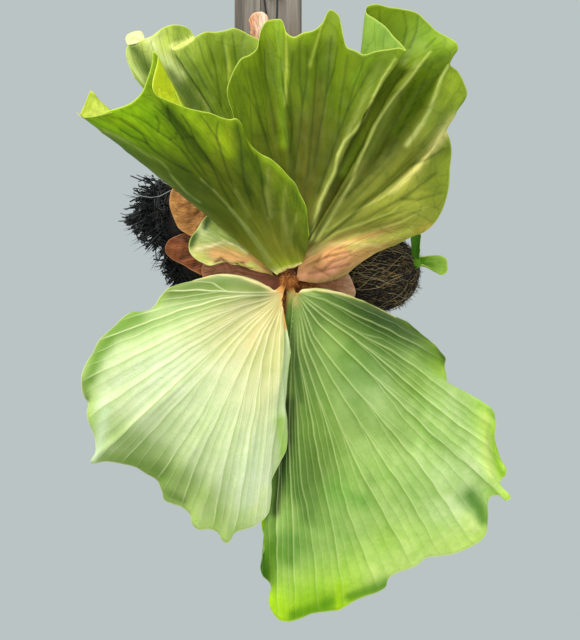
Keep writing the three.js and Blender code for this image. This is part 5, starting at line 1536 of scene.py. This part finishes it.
def strands(lines, radii, sides, seed):
  # Thin tubes along many lines at once: lines is strands x points x 3, in metres, and radii
  # strands x points. Each ring stands square to its line. shade is a number for each strand.
  along = unit(np.gradient(lines, axis=1))
  draw = np.random.default_rng(seed)
  first = unit(np.cross(along, draw.normal(size=(len(lines), 1, 3))))
  second = np.cross(along, first)
  turn = np.arange(sides) * 2 * math.pi / sides
  ring = first[:, :, None] * np.cos(turn)[:, None] + second[:, :, None] * np.sin(turn)[:, None]
  points = lines[:, :, None] + ring * radii[:, :, None, None]
  index = np.arange(points[..., 0].size).reshape(points.shape[:3])
  beside = np.roll(index, -1, 2)
  faces = np.stack([index[:, :-1], beside[:, :-1], beside[:, 1:], index[:, 1:]], -1).reshape(-1, 4)
  shade = np.broadcast_to(draw.uniform(0, 1, (len(lines), 1, 1)), points.shape[:3])
  return {"points": points.reshape(-1, 3), "faces": faces, "shade": shade.reshape(-1)}


def onLump(lump, directions, lift):
  # Points over an ellipsoid lump in given directions, lifted a little from it, in millimetres.
  return seen(lump["middle"]) + unit(directions) * (halfSizes(lump) + lift[..., None] * mm)


# How roots wander. Lengths are in millimetres, angles in radians, and bends and turns in lengths of
# the root itself.
wander = {
  "mattedPoints": 7, "sway": (-0.5, 0.5), "wave": 1.6, "waveTurns": (4, 14),
  "footDepth": 3.0, "bend": 0.28, "bendEase": (1.2, 0.4),
  "twigPoints": 4, "twigTurn": 0.5, "twigBend": 0.25,
  "fineness": (0.6, 1.2),  # factors on a whole strand's radii
}


def mattedLines(lump, count, reach, rise, towards, spread, seed, grain=(0, 0, 0)):
  # Roots that creep over a lump: each starts in a random direction near towards, turns by up to
  # reach radians over the lump in a curved path, drawn out along grain, and rises and dips.
  draw = np.random.default_rng(seed)
  start = unit(draw.normal(size=(count, 3)) * spread + np.array(towards))
  side = draw.normal(size=(count, 3)) + np.array(grain) * draw.choice([-1, 1], (count, 1))
  side = unit(side - start * (side * start).sum(-1, keepdims=True))
  bend = np.cross(start, side)
  t = np.linspace(0, 1, wander["mattedPoints"])[None]
  turn = t * draw.uniform(*reach, (count, 1))
  sway = draw.uniform(*wander["sway"], (count, 1)) * np.sin(t * math.pi)
  way = (start[:, None] * np.cos(turn)[..., None] + side[:, None] * np.sin(turn)[..., None]
         + bend[:, None] * (sway * turn)[..., None])
  lift = draw.uniform(*rise, (count, 1))
  waves = t * draw.uniform(*wander["waveTurns"], (count, 1)) + draw.uniform(*anyPhase, (count, 1))
  return onLump(lump, way, lift + wander["wave"] * np.sin(waves))


def looseLines(lump, count, length, towards, spread, droop, seed, points=7):
  # Root ends that leave a lump and wander: straight out, plus a drawn bend and a droop by t^2.
  draw = np.random.default_rng(seed)
  out = unit(draw.normal(size=(count, 3)) * spread + np.array(towards))
  foot = onLump(lump, out, np.full(count, -wander["footDepth"]))
  t = np.linspace(0, 1, points)[None, :, None]
  far = draw.uniform(*length, (count, 1, 1)) * mm
  bend = draw.normal(size=(count, 1, 3)) * wander["bend"]
  most, less = wander["bendEase"]
  lines = foot[:, None] + (out[:, None] * t + bend * t * t * (most - less * t)) * far
  lines[..., 2] -= (t[..., 0] ** 2) * far[..., 0] * droop
  return lines


def twigs(lines, count, length, seed):
  # Side roots: each leaves a drawn line between its middle and its end, turned off its direction,
  # and bends by t^2.
  draw = np.random.default_rng(seed)
  which = draw.integers(0, len(lines), count)
  where = draw.integers(lines.shape[1] // 2, lines.shape[1] - 1, count)
  foot = lines[which, where]
  way = unit(lines[which, where + 1] - foot) + draw.normal(size=(count, 3)) * wander["twigTurn"]
  t = np.linspace(0, 1, wander["twigPoints"])[None, :, None]
  bend = draw.normal(size=(count, 1, 3)) * wander["twigBend"]
  return foot[:, None] + (way[:, None] * t + bend * t * t) * draw.uniform(*length, (count, 1, 1)) * mm


def taper(lines, thick, thin, seed):
  # Radii from thick to thin along each line, in millimetres, some strands finer than others.
  draw = np.random.default_rng(seed)
  t = np.linspace(0, 1, lines.shape[1])[None]
  return (thick + (thin - thick) * t) * draw.uniform(*wander["fineness"], (len(lines), 1)) * mm


# Where strands would come through the two dried leaves that lie on the roots: between these places
# across and up, and further out than this.
underLeaves = {"across": (-152, -70), "up": (56, 166), "out": 103}
# The mat's ragged left edge: how far across it reaches at rising heights.
matEdge = {"up": [45, 65, 80, 92, 104, 120, 140],
           "across": [-156, -164, -174, -184, -194, -210, -236]}


def besideLeaves(lines):
  # Leaves out the strands that would come through those leaves or reach past that edge.
  across, up = drawn(lines)
  (left, right), (low, high) = underLeaves["across"], underLeaves["up"]
  hit = (across > left) & (across < right) & (up > low) & (up < high)
  hit = hit & (-lines[..., 1] / mm > underLeaves["out"])
  past = across < np.interp(up, matEdge["up"], matEdge["across"])
  return lines[~(hit | past).any(1)]


def strandPart(sets, sides, seed):
  # Sets of lines with the radii at their feet and ends, in millimetres, as one set of arrays.
  made = []
  for k, (lines, thick, thin) in enumerate(sets):
    lines = besideLeaves(lines)
    made.append(strands(lines, taper(lines, thick, thin, seed + k), sides, seed + 50 + k))
  return joined(made)


# A strand's shade is from 0 to 1, and a bare one's is raised by 2, which its material tells by a
# step between these shades.
bareShade = 2
bareStep = (1.4, 1.6)


def bareStrands(lines, radius, sides, seed):
  # Even strands that their material paints bare.
  part = strands(lines, np.full(lines.shape[:2], radius * mm), sides, seed)
  part["shade"] += bareShade
  return part


rootMottle = {"scale": 220, "share": 0.5, "relief": 0.0006}


def rootMaterial(name, tones):
  # Strands from dark to light by their own shade, mottled along their length; bare ones are paler.
  g = Graph(name)
  shade = g.attribute("shade")
  mottle = g.noise(g.place(), rootMottle["scale"])
  light = g.ease(tones["lightFrom"], 1.0, shade + (mottle - 0.5) * rootMottle["share"])
  colour = g.mix(light, rgba(tones["dark"]), rgba(tones["light"]))
  colour = g.mix(g.ease(*bareStep, shade), colour, rgba(tones["bare"]))
  relief = mottle * rootMottle["relief"]
  return g.finish({"Base Color": colour, "Roughness": tones["roughness"]}, relief)


# Black wiry roots at the left, with a few bare grey ones bowed over them.
blackTones = {"dark": (2, 3, 3), "light": (34, 42, 42), "lightFrom": 0.8, "bare": (128, 136, 134),
              "roughness": 0.6}
back, leftLump, lowLeftLump, rightLump, middleLump = rootLumps
leftEnds = looseLines(leftLump, 230, (12, 34), (-1, -0.2, -0.15), 0.42, 0.25, 304, points=8)
lowLeftEnds = looseLines(lowLeftLump, 120, (8, 22), (-0.9, -0.2, -0.5), 0.45, 0.15, 305)
bareLines = seen([
  [(-196, 160, 96), (-186, 155, 108), (-174, 153, 114), (-162, 155, 117), (-149, 162, 116)],
  [(-180, 182, 100), (-172, 178, 108), (-162, 176, 113), (-152, 178, 114), (-146, 182, 112)],
  [(-172, 190, 96), (-168, 182, 104), (-158, 172, 112), (-150, 168, 116), (-146, 166, 116)],
])
blackRoots = strandPart([
  (mattedLines(leftLump, 520, (0.3, 1.2), (-1, 5), (-0.9, -0.5, 0), 0.6, 301, (2, 0, -1)), 0.9, 0.7),
  (mattedLines(lowLeftLump, 260, (0.3, 1.2), (-1, 4), (-0.8, -0.5, -0.4), 0.6, 302), 0.9, 0.6),
  (mattedLines(back, 320, (0.15, 0.7), (-1, 3), (0, -0.3, 0.2), 0.8, 303), 0.9, 0.5),
  (leftEnds, 1.2, 1.0),
  (twigs(leftEnds, 300, (5, 12), 307), 0.95, 0.75),
  (lowLeftEnds, 1.0, 0.8),
  (twigs(lowLeftEnds, 130, (4, 10), 308), 0.8, 0.6),
  (looseLines(back, 120, (8, 24), (0, -0.2, 0.8), 0.6, 0.1, 306), 0.7, 0.4),
], 4, 310)
blackRoots = joined([blackRoots, bareStrands(bareLines, 0.6, 4, 309)])
meshObject("black_roots", blackRoots, rootMaterial("black_roots", blackTones))

# Brown fibres at the right, with longer pale hairs over them, all drawn out across.
brownTones = {"dark": (24, 18, 10), "light": (166, 134, 78), "lightFrom": 0.66, "bare": (158, 140, 102),
              "roughness": 0.7}
grain = (3, 0, 0.3)
brownRoots = strandPart([
  (mattedLines(rightLump, 1450, (0.2, 1.0), (-1, 4), (0.4, -0.8, -0.1), 0.7, 321, grain), 0.42, 0.25),
  (mattedLines(middleLump, 500, (0.3, 1.2), (-1, 3), (0.2, -0.8, -0.4), 0.7, 322), 0.5, 0.3),
  (looseLines(rightLump, 300, (4, 13), (0.8, -0.3, -0.5), 0.7, 0.15, 323), 0.4, 0.2),
], 3, 330)
paleHairs = mattedLines(rightLump, 60, (0.3, 1.2), (3, 7), (0.4, -0.8, 0), 0.6, 324, grain)
brownRoots = joined([brownRoots, bareStrands(paleHairs, 0.29, 3, 325)])
meshObject("brown_roots", brownRoots, rootMaterial("brown_roots", brownTones))

# Hairs over the bud, and more beside it where old stalks have rotted away.
furTones = {"dark": (156, 78, 24), "light": (246, 172, 84), "lightFrom": 0.25, "bare": (246, 172, 84),
            "roughness": 0.8}
stalkScar = {"middle": [19, 43, 140], "half": [14, 11, 8]}
stalkGap = {"middle": [-3, 26, 140], "half": [7, 24, 6]}
budFur = strandPart([
  (looseLines(growingBud, 1400, (3, 8), (0, -0.9, 0), 0.7, 0.9, 341, points=4), 0.4, 0.14),
  (looseLines(stalkScar, 800, (3, 8), (0, -0.9, 0), 0.7, 0.5, 343, points=4), 0.45, 0.2),
  (looseLines(stalkGap, 800, (3, 7), (0, -0.9, 0), 0.7, 0.5, 345, points=4), 0.45, 0.2),
], 3, 342)
meshObject("bud_fur", budFur, rootMaterial("bud_fur", furTones))
print("roots and hairs done")


def coreMaterial(name, dark, light, scale, height):
  # The solid under the strands: two-tone noise, drawn out across, with a rough relief.
  g = Graph(name)
  mottle = g.noise(g.place((1, 1, 2.2)), scale, 5, 0.65)
  colour = g.mix(g.ease(0.35, 0.7, mottle), rgba(dark), rgba(light))
  return g.finish({"Base Color": colour, "Roughness": 0.9}, mottle * height)


# Noise scales are per metre, and each noise is drawn out along the height by its last factor.
wood = {
  "dark": (106, 99, 90), "light": (144, 137, 127), "warm": (122, 98, 82), "crack": (60, 52, 46),
  "grain": (260, (1, 1, 0.035)), "broad": (30, (1, 1, 0.12)), "cracks": (75, (1, 1, 0.02)),
  "warmShare": 0.5, "crackShare": 0.5, "crackDepth": 1.5, "relief": 0.0012, "roughness": 0.85,
}


def woodMaterial():
  # Weathered board: grain is noise drawn out along the height, cracks are where another is lowest.
  g = Graph("weathered_board")
  grainScale, grainStretch = wood["grain"]
  broadScale, broadStretch = wood["broad"]
  crackScale, crackStretch = wood["cracks"]
  grain = g.noise(g.place(grainStretch), grainScale, 5, 0.6)
  broad = g.noise(g.place(broadStretch), broadScale)
  crack = g.ease(0.4, 0.3, g.noise(g.place(crackStretch), crackScale, 2))
  colour = g.mix(g.ease(0.3, 0.7, grain), rgba(wood["dark"]), rgba(wood["light"]))
  colour = g.mix(g.ease(0.35, 0.65, broad) * wood["warmShare"], colour, rgba(wood["warm"]))
  colour = g.mix(crack * wood["crackShare"], colour, rgba(wood["crack"]))
  relief = (grain - crack * wood["crackDepth"]) * wood["relief"]
  return g.finish({"Base Color": colour, "Roughness": wood["roughness"]}, relief)


def plainMaterial(name, colour, roughness, metallic=0.0):
  # One colour with a faint mottle.
  g = Graph(name)
  tone = g.mix(g.noise(g.place(), 300) * 0.4, rgba(colour), rgba(colour, 0.4))
  return g.finish({"Base Color": tone, "Roughness": roughness, "Metallic": metallic})


steel = plainMaterial("nail_steel", (112, 100, 90), 0.5, 0.8)
carried = {
  "plank": woodMaterial(),
  "nail_left": steel,
  "nail_right": steel,
  "tie_wire": plainMaterial("wire_coating", (30, 30, 33), 0.45),
  "root_ball": coreMaterial("root_core", (12, 11, 10), (36, 28, 20), 120, 0.004),
  "rhizome": coreMaterial("bud_core", (58, 28, 12), (150, 84, 34), 170, 0.001),
}
for name, material in carried.items():
  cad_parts[name].data.materials.clear()
  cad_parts[name].data.materials.append(material)
print("materials of the solids done")

scene = bpy.context.scene
floor = {"size": (3.2, 2.4, 1), "place": (0, -0.4, -1.173), "colour": (206, 210, 214), "roughness": 0.7}
bpy.ops.mesh.primitive_plane_add(size=1, location=floor["place"])
ground = bpy.context.object
ground.name = "floor"
ground.scale = floor["size"]
ground.data.materials.append(plainMaterial("floor_paint", floor["colour"], floor["roughness"]))

sky = {"colour": (0.82, 0.92, 0.92, 1), "strength": 0.6}
world = bpy.data.worlds.new("studio")
scene.world = world
world.use_nodes = True
background = world.node_tree.nodes["Background"]
background.inputs["Color"].default_value = sky["colour"]
background.inputs["Strength"].default_value = sky["strength"]

# Soft lights: where each stands, its size, its power and its colour; all aim at the plant.
aim = np.array([0.03, -0.15, -0.1])
lights = [
  ("key", (-1.0, -1.3, 2.1), 1.0, 80, (1.0, 0.98, 0.93)),
  ("front", (-0.6, -2.6, 0.2), 1.8, 12, (0.97, 0.99, 1.0)),
  ("side", (1.6, -1.6, -0.5), 1.4, 11, (0.97, 0.99, 1.0)),
]
for name, place, size, power, colour in lights:
  data = bpy.data.lights.new(name, "AREA")
  data.shape = "DISK"
  data.size = size
  data.energy = power
  data.color = colour
  lamp = bpy.data.objects.new(name, data)
  lamp.location = place
  lamp.rotation_mode = "QUATERNION"
  lamp.rotation_quaternion = Vector(tuple(aim - np.array(place))).to_track_quat("-Z", "Y")
  scene.collection.objects.link(lamp)

# The eye is level, in front of the axis that the outlines are drawn round.
eye = {"lens": 67.5, "sensor": 36, "nearest": 0.05}
camera = bpy.data.objects.new("camera", bpy.data.cameras.new("camera"))
camera.location = (axisAcross * mm, -(eyeDistance + growingOut) * mm, axisUp * mm)
camera.rotation_euler = (math.pi / 2, 0, 0)
camera.data.lens = eye["lens"]
camera.data.sensor_width = eye["sensor"]
camera.data.clip_start = eye["nearest"]
scene.collection.objects.link(camera)
scene.camera = camera
scene.view_settings.view_transform = "Standard"
print("floor, lights and camera done")
